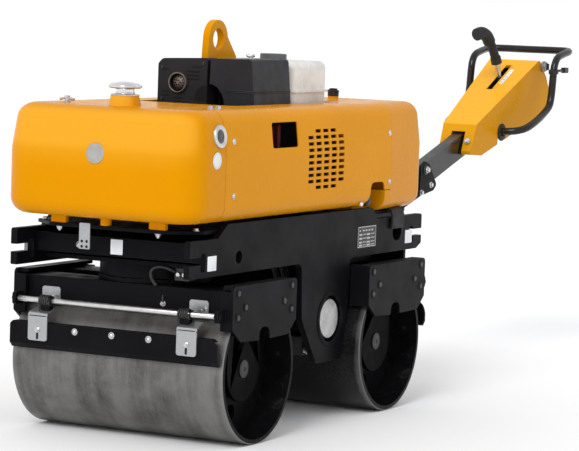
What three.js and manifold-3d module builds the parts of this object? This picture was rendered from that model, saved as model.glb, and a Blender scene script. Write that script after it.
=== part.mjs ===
// Pedestrian double-drum vibratory roller, in millimetres, +Z up.
// Layout frame: +X towards the front (the water tank end), +Y to the machine's left,
// z = 0 on the ground, x = 0 midway between the drum axles. The whole group is then
// moved along X so that its origin is the bottom centre of its bounding box.
import * as THREE from "three";
import { mergeVertices } from "three/addons/utils/BufferGeometryUtils.js";
import Module from "manifold-3d";

const wasm = await Module();
wasm.setup();

// ---------------------------------------------------------------- driving dimensions
const GAP = 0.3; // between pieces that touch

const DRUM_R = 212.5;
const DRUM_HALF_W = 350;
const DRUM_SHELL = 14;
const AXLE_X = 429.4; // half the wheelbase
const AXLE_Z = DRUM_R;
const WEB_OUT = 262; // outer face of a drum's web
const WEB_T = 12;
const HUB_R = 60;
const HUB_HALF = 275;
const AXLE_R = 28;
const AXLE_BORE_R = 29;

const FRAME_Y = 295; // outer face of a side plate
const PLATE_T = 20;
const HOOK_X = 748;
const DECK_Z = 608;
const DECK_T = 10;

const YOKE_Y = 365; // outer face of a yoke's side plate
const YOKE_T = 9;
const YOKE_HALF_X = 190;
const YOKE_TOP = 467;
const BEAM_FACE = 170; // a beam's face, measured from the axle
const BEAM_TOP = 450;
const BEAM_LOW = 383;

const RING_LOW_R = 166;
const RING_LOW_Z = 463;
const RING_TOP_R = 163;
const RING_TOP_Z = 505;

const HOOD_Y = 317;
const HOOD_Z0 = 641;
const HOOD_CREASE = 828; // above this height the walls lean inwards
const HOOD_LEAN = (7 * Math.PI) / 180;
const HOOD_Z1 = 957;
const HOOD_RT = 46;
const HOOD_RB = 46;
const HOOD_X1 = 785;
const TANK_BACK = 600;
const REAR_X0 = -462;
const SHEET = 4;

const EXCITER_X = -118;
const EXCITER_Z = 310;

const SLOPE = Math.atan(0.305); // the drawbar's rise
const PIVOT = [-1330, 698];
const TUBE_A = [-1409, 696.5]; // a point on the drawbar tube's centre line
const TUBE_HALF_H = 40;
const TUBE_HALF_W = 20;

const ORIGIN_X = 758.44; // shift of the group along +X

// ---------------------------------------------------------------- materials
const paint = (hex, r = 0.35, m = 0.1) =>
  new THREE.MeshStandardMaterial({ color: hex, roughness: r, metalness: m });
const YELLOW = () => paint(0xf0a51c, 0.3, 0.05);
const BLACK = () => paint(0x232327, 0.45, 0.15);
const STEEL = () => paint(0x8b8c8c, 0.5, 0.8);
const ZINC = () => paint(0xb9bec0, 0.4, 0.85);
const CHROME = () => paint(0xd7d9dc, 0.12, 1);
const PLASTIC = () => paint(0x2b2c30, 0.6, 0);
const CREAM = () => paint(0xc9c6b8, 0.4, 0);
const RUBBER = () => paint(0x1d1d1e, 0.85, 0);
const IRON = () => paint(0x4c4d50, 0.7, 0.5);

// ---------------------------------------------------------------- helpers
function solid(geometry) {
  const g = geometry.index ? geometry.toNonIndexed() : geometry.clone();
  const bare = new THREE.BufferGeometry().setAttribute(
    "position",
    g.getAttribute("position"),
  );
  const m = mergeVertices(bare, 1e-3);
  return new wasm.Manifold(
    new wasm.Mesh({
      numProp: 3,
      vertProperties: m.attributes.position.array,
      triVerts: new Uint32Array(m.index.array),
    }),
  );
}
function geometryOf(man) {
  const mesh = man.getMesh();
  const g = new THREE.BufferGeometry();
  g.setAttribute(
    "position",
    new THREE.BufferAttribute(new Float32Array(mesh.vertProperties), 3),
  );
  g.setIndex(new THREE.BufferAttribute(new Uint32Array(mesh.triVerts), 1));
  const flat = g.toNonIndexed();
  flat.computeVertexNormals();
  return flat;
}
const join = (...list) => list.reduce((a, b) => a.add(b));
const cut = (a, ...list) => list.reduce((m, b) => m.subtract(b), a);

function box(x0, x1, y0, y1, z0, z1) {
  const g = new THREE.BoxGeometry(x1 - x0, y1 - y0, z1 - z0);
  g.translate((x0 + x1) / 2, (y0 + y1) / 2, (z0 + z1) / 2);
  return solid(g);
}
function shapeOf(points, holes = []) {
  const s = new THREE.Shape(points.map(([a, b]) => new THREE.Vector2(a, b)));
  for (const h of holes)
    s.holes.push(new THREE.Path(h.map(([a, b]) => new THREE.Vector2(a, b))));
  return s;
}
// a flat outline in XZ, carried along Y
function slabXZ(points, y0, y1, holes = []) {
  const g = new THREE.ExtrudeGeometry(shapeOf(points, holes), {
    depth: y1 - y0,
    bevelEnabled: false,
  });
  g.rotateX(Math.PI / 2);
  g.translate(0, y1, 0);
  return solid(g);
}
// a flat outline in XY, carried along Z
function slabXY(points, z0, z1, holes = []) {
  const g = new THREE.ExtrudeGeometry(shapeOf(points, holes), {
    depth: z1 - z0,
    bevelEnabled: false,
  });
  g.translate(0, 0, z0);
  return solid(g);
}
// a flat outline in YZ, carried along X
function slabYZ(points, x0, x1, holes = []) {
  const g = new THREE.ExtrudeGeometry(shapeOf(points, holes), {
    depth: x1 - x0,
    bevelEnabled: false,
  });
  g.applyMatrix4(
    new THREE.Matrix4().makeBasis(
      new THREE.Vector3(0, 1, 0),
      new THREE.Vector3(0, 0, 1),
      new THREE.Vector3(1, 0, 0),
    ),
  );
  g.translate(x0, 0, 0);
  return solid(g);
}
function rodY(x, z, r, y0, y1, n = 32, r2 = r) {
  const g = new THREE.CylinderGeometry(r2, r, y1 - y0, n);
  g.translate(x, (y0 + y1) / 2, z);
  return solid(g);
}
function rodZ(x, y, r, z0, z1, n = 32, r2 = r) {
  const g = new THREE.CylinderGeometry(r2, r, z1 - z0, n);
  g.rotateX(Math.PI / 2);
  g.translate(x, y, (z0 + z1) / 2);
  return solid(g);
}
function rodX(y, z, r, x0, x1, n = 32) {
  const g = new THREE.CylinderGeometry(r, r, x1 - x0, n);
  g.rotateZ(-Math.PI / 2);
  g.translate((x0 + x1) / 2, y, z);
  return solid(g);
}
function arc(cx, cy, r, a0, a1, n = 8) {
  const out = [];
  for (let i = 0; i <= n; i++) {
    const a = ((a0 + ((a1 - a0) * i) / n) * Math.PI) / 180;
    out.push([cx + r * Math.cos(a), cy + r * Math.sin(a)]);
  }
  return out;
}
const circle = (cx, cy, r, n = 40) => arc(cx, cy, r, 0, 360, n).slice(0, n);
// outline with its corners rounded: corners is a list of [x, y, radius]
function rounded(corners, n = 5) {
  const out = [];
  const k = corners.length;
  for (let i = 0; i < k; i++) {
    const [px, py] = corners[(i + k - 1) % k];
    const [cx, cy, r = 0] = corners[i];
    const [nx, ny] = corners[(i + 1) % k];
    if (!r) {
      out.push([cx, cy]);
      continue;
    }
    const a = new THREE.Vector2(px - cx, py - cy).normalize();
    const b = new THREE.Vector2(nx - cx, ny - cy).normalize();
    const half = Math.acos(Math.max(-1, Math.min(1, a.dot(b)))) / 2;
    const t = r / Math.tan(half);
    const c = a.clone().add(b).normalize().multiplyScalar(r / Math.sin(half));
    const o = new THREE.Vector2(cx, cy).add(c);
    const s = new THREE.Vector2(cx, cy).addScaledVector(a, t);
    const e = new THREE.Vector2(cx, cy).addScaledVector(b, t);
    let a0 = Math.atan2(s.y - o.y, s.x - o.x);
    let a1 = Math.atan2(e.y - o.y, e.x - o.x);
    while (a1 - a0 > Math.PI) a1 -= 2 * Math.PI;
    while (a1 - a0 < -Math.PI) a1 += 2 * Math.PI;
    for (let j = 0; j <= n; j++) {
      const q = a0 + ((a1 - a0) * j) / n;
      out.push([o.x + r * Math.cos(q), o.y + r * Math.sin(q)]);
    }
  }
  return out;
}
// a closed body from rings of equal length, the first and last capped
function loft(rings) {
  const pos = [];
  const tri = (a, b, c) => {
    const area = new THREE.Vector3()
      .subVectors(b, a)
      .cross(new THREE.Vector3().subVectors(c, a))
      .length();
    if (area > 1e-7) pos.push(...a.toArray(), ...b.toArray(), ...c.toArray());
  };
  const v = rings.map((r) => r.map((p) => new THREE.Vector3(...p)));
  const m = v[0].length;
  for (let i = 0; i + 1 < v.length; i++)
    for (let j = 0; j < m; j++) {
      const k = (j + 1) % m;
      tri(v[i][j], v[i][k], v[i + 1][k]);
      tri(v[i][j], v[i + 1][k], v[i + 1][j]);
    }
  for (let j = 1; j + 1 < m; j++) {
    tri(v[0][0], v[0][j + 1], v[0][j]);
    tri(v[v.length - 1][0], v[v.length - 1][j], v[v.length - 1][j + 1]);
  }
  const g = new THREE.BufferGeometry();
  g.setAttribute("position", new THREE.BufferAttribute(new Float32Array(pos), 3));
  return solid(g);
}
// the leaning wall's centre of rounding, as an inset from the upright wall
const crownInset = (z1, rt) =>
  rt * Math.cos(HOOD_LEAN) +
  (z1 - rt + rt * Math.sin(HOOD_LEAN) - HOOD_CREASE) * Math.tan(HOOD_LEAN);
// a body with walls that lean inwards above the crease, and rounded upper and lower edges;
// plan(d, top) is its outline set in by d
function crowned(plan, z0, z1, rb, rt, n = 6) {
  const rings = [];
  for (let i = 0; i <= n; i++) {
    const a = ((i / n) * Math.PI) / 2;
    rings.push(plan(rb * (1 - Math.sin(a))).map(([x, y]) => [x, y, z0 + rb * (1 - Math.cos(a))]));
  }
  rings.push(plan(0, true).map(([x, y]) => [x, y, HOOD_CREASE]));
  const ic = crownInset(z1, rt);
  for (let i = 0; i <= n; i++) {
    const a = HOOD_LEAN + (i / n) * (Math.PI / 2 - HOOD_LEAN);
    rings.push(
      plan(ic - rt * Math.cos(a), true).map(([x, y]) => [x, y, z1 - rt * (1 - Math.sin(a))]),
    );
  }
  return loft(rings);
}
// an upright block with a rounded upper edge
function domed(plan, z0, z1, rt, n = 4) {
  const rings = [plan(0).map(([x, y]) => [x, y, z0])];
  for (let i = 0; i <= n; i++) {
    const a = ((i / n) * Math.PI) / 2;
    rings.push(plan(rt * (1 - Math.cos(a))).map(([x, y]) => [x, y, z1 - rt * (1 - Math.sin(a))]));
  }
  return loft(rings);
}
// a round bar from a to b, with radius ra at a and rb at b
function taper(a, b, ra, rb, n = 20) {
  const d = new THREE.Vector3(b[0] - a[0], b[1] - a[1], b[2] - a[2]);
  const g = new THREE.CylinderGeometry(rb, ra, d.length(), n);
  g.applyQuaternion(
    new THREE.Quaternion().setFromUnitVectors(new THREE.Vector3(0, 1, 0), d.clone().normalize()),
  );
  g.translate((a[0] + b[0]) / 2, (a[1] + b[1]) / 2, (a[2] + b[2]) / 2);
  return solid(g);
}
function lathe(profile, n) {
  return solid(
    new THREE.LatheGeometry(
      profile.map(([r, h]) => new THREE.Vector2(r, h)),
      n,
    ),
  );
}
// a round bar along a smooth path
function bar(points, r, n = 12, steps = 60, tension = 0.5) {
  const path = new THREE.CatmullRomCurve3(
    points.map((p) => new THREE.Vector3(...p)),
    false,
    "centripetal",
    tension,
  );
  const s = new THREE.Shape(circle(0, 0, r, n).map(([a, b]) => new THREE.Vector2(a, b)));
  return solid(
    new THREE.ExtrudeGeometry(s, { steps, bevelEnabled: false, extrudePath: path }),
  );
}
const mirrorY = (pts) => pts.map(([x, y, z]) => [x, -y, z]);

const group = new THREE.Group();
group.name = "double_drum_roller";
function add(name, man, material) {
  const mesh = new THREE.Mesh(geometryOf(man), material);
  mesh.name = name;
  mesh.position.x = ORIGIN_X;
  group.add(mesh);
}

// ---------------------------------------------------------------- drums
function drum(x) {
  const R = DRUM_R,
    W = DRUM_HALF_W,
    Ri = DRUM_R - DRUM_SHELL;
  const outer = [
    [0, -225],
    [AXLE_BORE_R, -225],
    [AXLE_BORE_R, -HUB_HALF],
    [HUB_R - 4, -HUB_HALF],
    [HUB_R, -HUB_HALF + 4],
    [HUB_R, -WEB_OUT],
    [Ri, -WEB_OUT],
    [Ri, -W],
    [R - 3, -W],
    [R, -W + 3],
    [R, W - 3],
    [R - 3, W],
    [Ri, W],
    [Ri, WEB_OUT],
    [HUB_R, WEB_OUT],
    [HUB_R, HUB_HALF - 4],
    [HUB_R - 4, HUB_HALF],
    [AXLE_BORE_R, HUB_HALF],
    [AXLE_BORE_R, 225],
    [0, 225],
  ];
  const w = WEB_OUT - WEB_T;
  const cavity = [
    [HUB_R, -w],
    [Ri, -w],
    [Ri, w],
    [HUB_R, w],
    [HUB_R, -w],
  ];
  let d = lathe(outer, 64).subtract(lathe(cavity, 64));
  for (let i = 0; i < 6; i++) {
    const a = (i * Math.PI) / 3 + Math.PI / 6;
    const hx = 130 * Math.cos(a),
      hz = 130 * Math.sin(a);
    d = d.subtract(rodY(hx, hz, 24, -WEB_OUT - 3, WEB_OUT + 3, 16));
  }
  const g = geometryOf(d);
  g.translate(x, 0, AXLE_Z);
  return solid(g);
}
add("front_drum", drum(AXLE_X), STEEL());
add("rear_drum", drum(-AXLE_X), STEEL());

// ---------------------------------------------------------------- main frame
function slot(sign) {
  // a lashing slot: an upright slot with a mouth to the plate's end
  return join(
    slabXZ(
      rounded([
        [sign * 660, 506, 10],
        [sign * 688, 506, 10],
        [sign * 688, 560, 10],
        [sign * 660, 560, 10],
      ]),
      -400,
      400,
    ),
    box(Math.min(sign * 680, sign * 760), Math.max(sign * 680, sign * 760), -400, 400, 528, 550),
  );
}
const plateOutline = rounded([
  [HOOK_X, 596, 8],
  [593, 596, 6],
  [538, 634, 10],
  [-384, 634, 10],
  [-426, 597, 6],
  [-HOOK_X, 597, 8],
  [-HOOK_X, 503, 4],
  [-712, 487, 4],
  [-243, 487, 14],
  [-238, 350, 20],
  [-222, 296, 20],
  [-200, 180, 14],
  [-36, 180, 16],
  [66, 322, 16],
  [78, 491, 24],
  [HOOK_X, 491, 5],
]);
function framePlate(y0, y1) {
  return cut(
    slabXZ(plateOutline, y0, y1, [
      circle(468, 536, 19, 24),
      circle(EXCITER_X, EXCITER_Z, 70, 48),
      rounded([
        [-598, 520, 28],
        [-536, 520, 28],
        [-536, 577, 8],
        [-598, 577, 8],
      ]),
    ]),
    slot(1),
    slot(-1),
  );
}
add("frame_plate_left", framePlate(FRAME_Y - PLATE_T, FRAME_Y), BLACK());
add("frame_plate_right", framePlate(-FRAME_Y, -FRAME_Y + PLATE_T), BLACK());

const IN_Y = FRAME_Y - PLATE_T - GAP; // half the clear width between the plates
add("front_cross_plate", box(630, 646, -IN_Y, IN_Y, 527, 581), BLACK());
add("rear_cross_plate", box(-680, -664, -IN_Y, IN_Y, 440, 581), BLACK());
add(
  "deck",
  slabXY(
    rounded([
      [715, -188, 10],
      [715, 188, 10],
      [640, IN_Y, 6],
      [-660, IN_Y, 0],
      [-660, -IN_Y, 0],
      [640, -IN_Y, 6],
    ]),
    DECK_Z,
    DECK_Z + DECK_T,
  ),
  BLACK(),
);
add(
  "turntable_deck",
  box(255, 600, -IN_Y, IN_Y, RING_TOP_Z + GAP, RING_TOP_Z + GAP + 12),
  BLACK(),
);
add(
  "turntable_upper",
  rodZ(AXLE_X, 0, RING_TOP_R, RING_LOW_Z + 1, RING_TOP_Z, 64),
  BLACK(),
);
add(
  "exciter_housing",
  rodY(EXCITER_X, EXCITER_Z, 64, -286, 286, 48),
  BLACK(),
);
for (const [side, s] of [["left", 1], ["right", -1]]) {
  const a = s * 286.3,
    b = s * 292;
  add(
    "exciter_cover_" + side,
    rodY(EXCITER_X, EXCITER_Z, 59, Math.min(a, b), Math.max(a, b), 48),
    ZINC(),
  );
}

// ---------------------------------------------------------------- yokes
// how far a yoke's side plate reaches from its axle towards +X and -X
const reach = (ax) => (ax > 0 ? [190, 190] : [190, 208]);
const beamFace = (ax, e) => (ax < 0 && e < 0 ? BEAM_FACE + 18 : BEAM_FACE);
const RODX = (ax) => (ax > 0 ? 222 : 254); // the scraper rod, measured from the axle
function yokeSide(ax, s) {
  const o = ax;
  const [hf, hr] = reach(ax);
  const outline = rounded([
    [o - hr, YOKE_TOP, 14],
    [o - hr, 345, 8],
    [o - hr + 50, 306, 8],
    [o - 33, 304, 4],
    [o - 28, 340, 22],
    [o + 28, 340, 22],
    [o + 33, 304, 4],
    [o + hf - 50, 308, 8],
    [o + hf, 345, 8],
    [o + hf, YOKE_TOP, 14],
  ]);
  const y = (a, b) => (s > 0 ? [a, b] : [-b, -a]);
  const [p0, p1] = y(YOKE_Y - YOKE_T, YOKE_Y);
  const [f0, f1] = y(ax > 0 ? 325 : 300, YOKE_Y - YOKE_T + 1);
  const [g0, g1] = y(325, YOKE_Y - YOKE_T + 1);
  const [l0, l1] = y(330, 341);
  // the lug that carries the scraper rod's end
  const e = ax > 0 ? 1 : -1;
  const X = (d) => ax + e * d;
  const edge = e > 0 ? hf : hr;
  const lug = [
    [X(edge - 2), 366, 0],
    [X(RODX(ax) + 12), 366, 8],
    [X(RODX(ax) + 12), 402, 8],
    [X(edge - 2), 402, 0],
  ];
  return join(
    slabXZ(outline, p0, p1),
    box(o + hf - 10, o + hf, f0, f1, ax > 0 ? 340 : 342, ax > 0 ? 452 : YOKE_TOP),
    box(o - hr, o - hr + 10, g0, g1, 340, 452),
    box(o - hr + 14, o + hf - (ax > 0 ? 14 : 9), g0, g1, 457, YOKE_TOP),
    slabXZ(e > 0 ? rounded(lug) : rounded(lug.slice().reverse()), l0, l1, [
      circle(X(RODX(ax)), 384, 5.7, 16),
    ]),
  );
}
function yokeBeam(ax, e) {
  // an angle beam: e = 1 the front one, -1 the rear one
  const f = ax + e * beamFace(ax, e);
  const pts = [
    [f, BEAM_LOW],
    [f, BEAM_TOP],
    [f - e * 114, BEAM_TOP],
    [f - e * 114, BEAM_TOP - 10],
    [f - e * 12, BEAM_TOP - 10],
    [f - e * 12, BEAM_LOW],
  ];
  const y = YOKE_Y - YOKE_T - GAP;
  return slabXZ(e > 0 ? pts : pts.slice().reverse(), -y, y);
}
function axleSupport(ax, s) {
  const outline = [
    ...arc(ax, AXLE_Z, 95, 180, 360, 24),
    [ax + 95, 352],
    [ax + 60, 386],
    [ax - 60, 386],
    [ax - 95, 352],
  ];
  const y = (a, b) => (s > 0 ? [a, b] : [-b, -a]);
  const [p0, p1] = y(285, 300);
  const [b0, b1] = y(299, YOKE_Y - YOKE_T - GAP);
  const [a0, a1] = y(235, 286);
  return join(
    slabXZ(outline, p0, p1),
    box(ax - 55, ax + 55, b0, b1, 344, 384),
    rodY(ax, AXLE_Z, AXLE_R, a0, a1, 40),
  );
}
function scraperBar(ax, e) {
  const off = RODX(ax) - 222;
  const X = (d) => ax + e * (d + off);
  const pts = [
    [X(236), 320],
    [X(208), 320],
    [X(208), 312],
    [X(228), 312],
    [X(228), 258],
    [X(217), 247],
    [X(222), 242],
    [X(236), 256],
  ];
  const x0 = Math.min(X(200), X(240)),
    x1 = Math.max(X(200), X(240));
  return cut(
    slabXZ(e > 0 ? pts : pts.slice().reverse(), -345, 345),
    // the face's upper corners are cut back
    slabYZ([[314, 322], [326, 317], [336, 307], [342, 294], [346, 276], [346, 322]].reverse(), x0, x1),
    slabYZ([[-346, 310], [-346, 322], [-334, 322]].reverse(), x0, x1),
  );
}
function scraperHanger(ax, e) {
  const off = RODX(ax) - 222;
  const X = (d) => ax + e * (d + off);
  let h = join(rodY(X(222), 384, 8, -326, 326, 20), rodY(X(222), 384, 5, -344, 344, 16));
  for (const s of [1, -1]) {
    const pts = [
      [X(242), 268],
      [X(242), 352],
      [X(200), 363],
      [X(200), 357],
      [X(236.3), 347],
      [X(236.3), 268],
    ];
    h = join(
      h,
      slabXZ(e > 0 ? pts : pts.slice().reverse(), s * 247 - 32.5, s * 247 + 32.5),
      box(Math.min(X(208), X(234)), Math.max(X(208), X(234)), s * 231 - 25, s * 231 + 25, 353, 402),
    );
  }
  return h;
}
for (const [end, e] of [["front", 1], ["rear", -1]]) {
  const ax = e * AXLE_X;
  for (const [side, s] of [["left", 1], ["right", -1]]) {
    add(end + "_yoke_" + side, yokeSide(ax, s), BLACK());
    add(end + "_axle_support_" + side, axleSupport(ax, s), BLACK());
  }
  add(end + "_yoke_beam_front", yokeBeam(ax, 1), BLACK());
  add(end + "_yoke_beam_rear", yokeBeam(ax, -1), BLACK());
  add(end + "_scraper_bar", scraperBar(ax, e), BLACK());
  add(end + "_scraper_hanger", scraperHanger(ax, e), ZINC());
}
add(
  "turntable_lower",
  rodZ(AXLE_X, 0, RING_LOW_R, BEAM_TOP + GAP, RING_LOW_Z, 64),
  BLACK(),
);
add(
  "rear_yoke_pedestal",
  box(-AXLE_X - 150, -AXLE_X + 150, -200, 200, BEAM_TOP + GAP, DECK_Z - GAP),
  BLACK(),
);

// ---------------------------------------------------------------- hood and tanks
function frontPlan(d, top = false) {
  const w = HOOD_Y - d,
    f = HOOD_X1 - (top ? 1.4 : 1) * d,
    R = Math.max(90 - d, 8);
  return [
    ...arc(f - R, w - R, R, 0, 90, 8),
    [300, w],
    [300, -w],
    ...arc(f - R, -w + R, R, -90, 0, 8),
  ];
}
let water = crowned(frontPlan, HOOD_Z0, HOOD_Z1, HOOD_RB, HOOD_RT);
water = cut(water, box(200, TANK_BACK, -400, 400, 500, 1100));
water = join(
  water,
  box(694, 712, -185, -135, DECK_Z + DECK_T + GAP, 670),
  box(694, 712, 138, 191, DECK_Z + DECK_T + GAP, 670),
  rodZ(704, -6, 16, DECK_Z + DECK_T + 1, 670, 24),
  rodZ(662, 18, 50, 940, 987, 40, 40),
);
add("water_tank", water, YELLOW());
add(
  "water_cap",
  join(
    rodZ(662, 18, 28, 987 + GAP, 1010, 32),
    (() => {
      const g = new THREE.LatheGeometry(
        [
          [0, 1008],
          [44, 1008],
          [48, 1011],
          [48, 1015],
          [40, 1022],
          [22, 1026],
          [0, 1027],
        ].map(([r, h]) => new THREE.Vector2(r, h)),
        40,
      );
      g.rotateX(Math.PI / 2);
      g.scale(1, 1, 1);
      g.translate(662, 18, 0);
      return solid(g);
    })(),
  ),
  CHROME(),
);

function panelSection(s) {
  const c = HOOD_Y - crownInset(HOOD_Z1, HOOD_RT);
  const lean = (HOOD_LEAN * 180) / Math.PI;
  const o = [
    [HOOD_Y - HOOD_RB, HOOD_Z0],
    ...arc(HOOD_Y - HOOD_RB, HOOD_Z0 + HOOD_RB, HOOD_RB, -90, 0, 8).slice(1),
    [HOOD_Y, HOOD_CREASE],
    ...arc(c, HOOD_Z1 - HOOD_RT, HOOD_RT, lean, 90, 8),
    [215, HOOD_Z1],
    [215, HOOD_Z1 - SHEET],
    ...arc(c, HOOD_Z1 - HOOD_RT, HOOD_RT - SHEET, 90, lean, 8),
    [HOOD_Y - SHEET, HOOD_CREASE],
    ...arc(HOOD_Y - HOOD_RB, HOOD_Z0 + HOOD_RB, HOOD_RB - SHEET, 0, -90, 8),
  ];
  return s > 0 ? o : o.map(([y, z]) => [-y, z]).reverse();
}
function hoodPanel(s) {
  let p = slabYZ(panelSection(s), REAR_X0 + 2 * GAP, TANK_BACK - GAP);
  const ya = s > 0 ? 200 : -330,
    yb = s > 0 ? 330 : -200;
  const thin = s > 0 ? [298, 322] : [-322, -298];
  // the corner over the rear tank's toe, and the rounded recess in front of it
  p = cut(
    p,
    box(-501, -420.7, ya, yb, 620, 690),
    slabXZ(
      rounded([
        [-431, 620, 0],
        [-317, 620, 0],
        [-325, 716, 22],
        [-417, 716, 22],
      ]),
      ya,
      yb,
    ),
  );
  // cooling slots
  for (let c = 0; c < 5; c++)
    for (let r = 0; r < 10; r++) {
      if ((r === 0 || r === 9) && (c === 0 || c === 4)) continue;
      const x = -VENT_X0 - c * VENT_DX,
        z = VENT_Z0 - r * VENT_DZ;
      p = p.subtract(box(x - 18, x + 18, thin[0], thin[1], z - 5, z + 5));
    }
  if (s > 0)
    p = cut(
      p,
      slabXZ(
        rounded([
          [162, 842, 8],
          [321, 842, 8],
          [321, 916, 8],
          [162, 916, 8],
        ]),
        thin[0],
        thin[1],
      ),
    );
  return p;
}
const VENT_X0 = -80,
  VENT_DX = 49,
  VENT_Z0 = 885,
  VENT_DZ = 18.6;
add("hood_panel_left", hoodPanel(1), YELLOW());
add("hood_panel_right", hoodPanel(-1), YELLOW());
add(
  "hood_top",
  slabXY(
    [
      [TANK_BACK - GAP, -214.7],
      [TANK_BACK - GAP, 214.7],
      [REAR_X0 + 2 * GAP, 214.7],
      [REAR_X0 + 2 * GAP, -214.7],
    ],
    HOOD_Z1 - SHEET,
    HOOD_Z1,
    [
      rounded([
        [-350, -172, 20],
        [300, -172, 20],
        [300, 172, 20],
        [-350, 172, 20],
      ]),
    ],
  ),
  YELLOW(),
);

function rearPlan(d) {
  const w = HOOD_Y - d,
    R = 70 - d;
  return [
    [-300, w],
    [REAR_X0, w],
    ...arc(-690, 227.4, R, 96, 180, 8),
    ...arc(-690, -227.4, R, 180, 264, 8),
    [REAR_X0, -w],
    [-300, -w],
  ];
}
let rear = crowned(rearPlan, 622, HOOD_Z1, HOOD_RB, HOOD_RT);
rear = rear.intersect(
  join(
    box(-800, REAR_X0, -400, 400, 600, 1000),
    box(-501, -423, -400, 400, 600, 688),
  ),
);
rear = cut(
  rear,
  // the lower rear edge is rounded more
  slabXZ(
    [[-770, 600], [-668, 600], ...arc(-678, 704, 82.9, 270, 180, 8), [-770, 704]].reverse(),
    -400,
    400,
  ),
);
rear = join(rear, box(-465, -327, -250, 250, 622, 735), rodZ(-598, 35, 17, 940, 965, 28));
add("rear_tank", rear, YELLOW());
add("rear_tank_cap", rodZ(-598, 35, 18, 965 + GAP, 985, 24), RUBBER());

// ---------------------------------------------------------------- engine
const BAY_Z = 944; // the engine block's top, on which the parts below stand
add("engine_block", box(-235, 85, -140, 140, DECK_Z + DECK_T + GAP, BAY_Z), IRON());
const mufflerBody = slabYZ(
  rounded([
    [-166, BAY_Z + 1, 6],
    [3, BAY_Z + 1, 4],
    [3, 1089, 6],
    [-151, 1083, 16],
    [-166, 1067, 10],
  ]),
  104,
  170,
);
add(
  "muffler",
  cut(join(mufflerBody, rodX(-95, 1012, 31, 160, 176, 32)), rodX(-95, 1012, 26, 150, 180, 32)),
  BLACK(),
);
add(
  "air_cleaner",
  cut(
    slabYZ(
      rounded([
        [10, BAY_Z + GAP, 3],
        [166, BAY_Z + GAP, 3],
        [162, 985, 4],
        [152, 1090, 10],
        [14, 1088, 8],
      ]),
      -62,
      170,
    ),
    slabYZ(
      [[0, 930], [66, 930], [62, 965], [52, 988], [38, 1003], [22, 1011], [0, 1011]],
      86,
      180,
    ),
  ),
  PLASTIC(),
);
const fuelPlan = (x0, x1, y0, y1, R) => (d) =>
  rounded([
    [x0 + d, y0 + d, R - d],
    [x1 - d, y0 + d, R - d],
    [x1 - d, y1 - d, R - d],
    [x0 + d, y1 - d, R - d],
  ]);
add(
  "fuel_tank",
  join(
    slabXY(fuelPlan(-320, -88, -148, 156, 26)(0), BAY_Z + GAP, 990),
    slabXY(fuelPlan(-328, -84, -156, 164, 30)(0), 989, 997),
    domed(fuelPlan(-320, -88, -148, 158, 30), 996, 1084, 22),
  ),
  CREAM(),
);
add("fuel_cap", rodZ(-170, 42, 40, 1084 + GAP, 1103, 36), PLASTIC());
// lifting plate between muffler and fuel tank
add(
  "lifting_eye",
  join(
    slabXZ(
      [
        [-76, 948],
        [92, 948],
        [100, 1090],
        ...arc(37, 1144, 58, 6, 174, 16),
        [-77, 1090],
      ],
      -59,
      -36,
      [circle(37, 1144, 31.5, 36)],
    ),
    box(-60, 75, -100, 8, BAY_Z + GAP, 954),
  ),
  YELLOW(),
);
// the hose to the steering side, held by the turntable deck
add(
  "steering_hose",
  bar(
    [
      [590, 81, 503.5],
      [590, 82, 493],
      [590, 97, 481],
      [590, 114, 475],
      [590, 125, 466],
      [590, 127, 455.5],
    ],
    6.5,
    8,
    18,
  ),
  RUBBER(),
);

// ---------------------------------------------------------------- drawbar bracket
const dir = [-Math.cos(SLOPE), Math.sin(SLOPE)];
const nor = [Math.sin(SLOPE), Math.cos(SLOPE)];
const T = (s, t) => [
  TUBE_A[0] + s * dir[0] + t * nor[0],
  TUBE_A[1] + s * dir[1] + t * nor[1],
];
const armLow = (x) => 571 + 0.27 * (-1154 - x);
const bracketArm = slabXZ(
  [
    [-681, armLow(-681)],
    [-681, armLow(-681) + 52],
    [-1268, armLow(-1268) + 50],
    T(-150, -49),
    T(-2, -49),
    T(-6, -58),
    T(-30, -66),
    [-1300, armLow(-1300)],
  ].reverse(),
  -31,
  31,
);
const ear = (y0, y1) =>
  slabXZ(
    [
      T(-150, -50),
      [-1290, 640],
      [-1296, 712],
      [-1330, 728],
      [-1362, 716],
      T(-2, -50),
    ].reverse(),
    y0,
    y1,
  );
add(
  "drawbar_bracket",
  join(
    bracketArm,
    ear(22, 31),
    ear(-31, -22),
    slabXZ([T(-26, -50), T(-6, -50), T(-6, -TUBE_HALF_H - GAP), T(-26, -TUBE_HALF_H - GAP)], -23, 23),
    rodY(PIVOT[0], PIVOT[1], 8, -36, 36, 24),
  ),
  BLACK(),
);

// ---------------------------------------------------------------- drawbar and handle
const endArc = [];
for (let i = 0; i <= 8; i++) {
  const a = ((i / 8) * 43 * Math.PI) / 180;
  endArc.push(T(-75.1 - 64 * Math.sin(a), 24.5 - 64 * Math.cos(a)));
}
const tubeOutline = [
  T(430, -TUBE_HALF_H),
  T(430, TUBE_HALF_H),
  T(-99.7, TUBE_HALF_H),
  ...endArc.reverse(),
];
add(
  "drawbar_tube",
  slabXZ(tubeOutline, -TUBE_HALF_W, TUBE_HALF_W, [circle(PIVOT[0], PIVOT[1], 8.8, 24)]),
  BLACK(),
);

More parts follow.
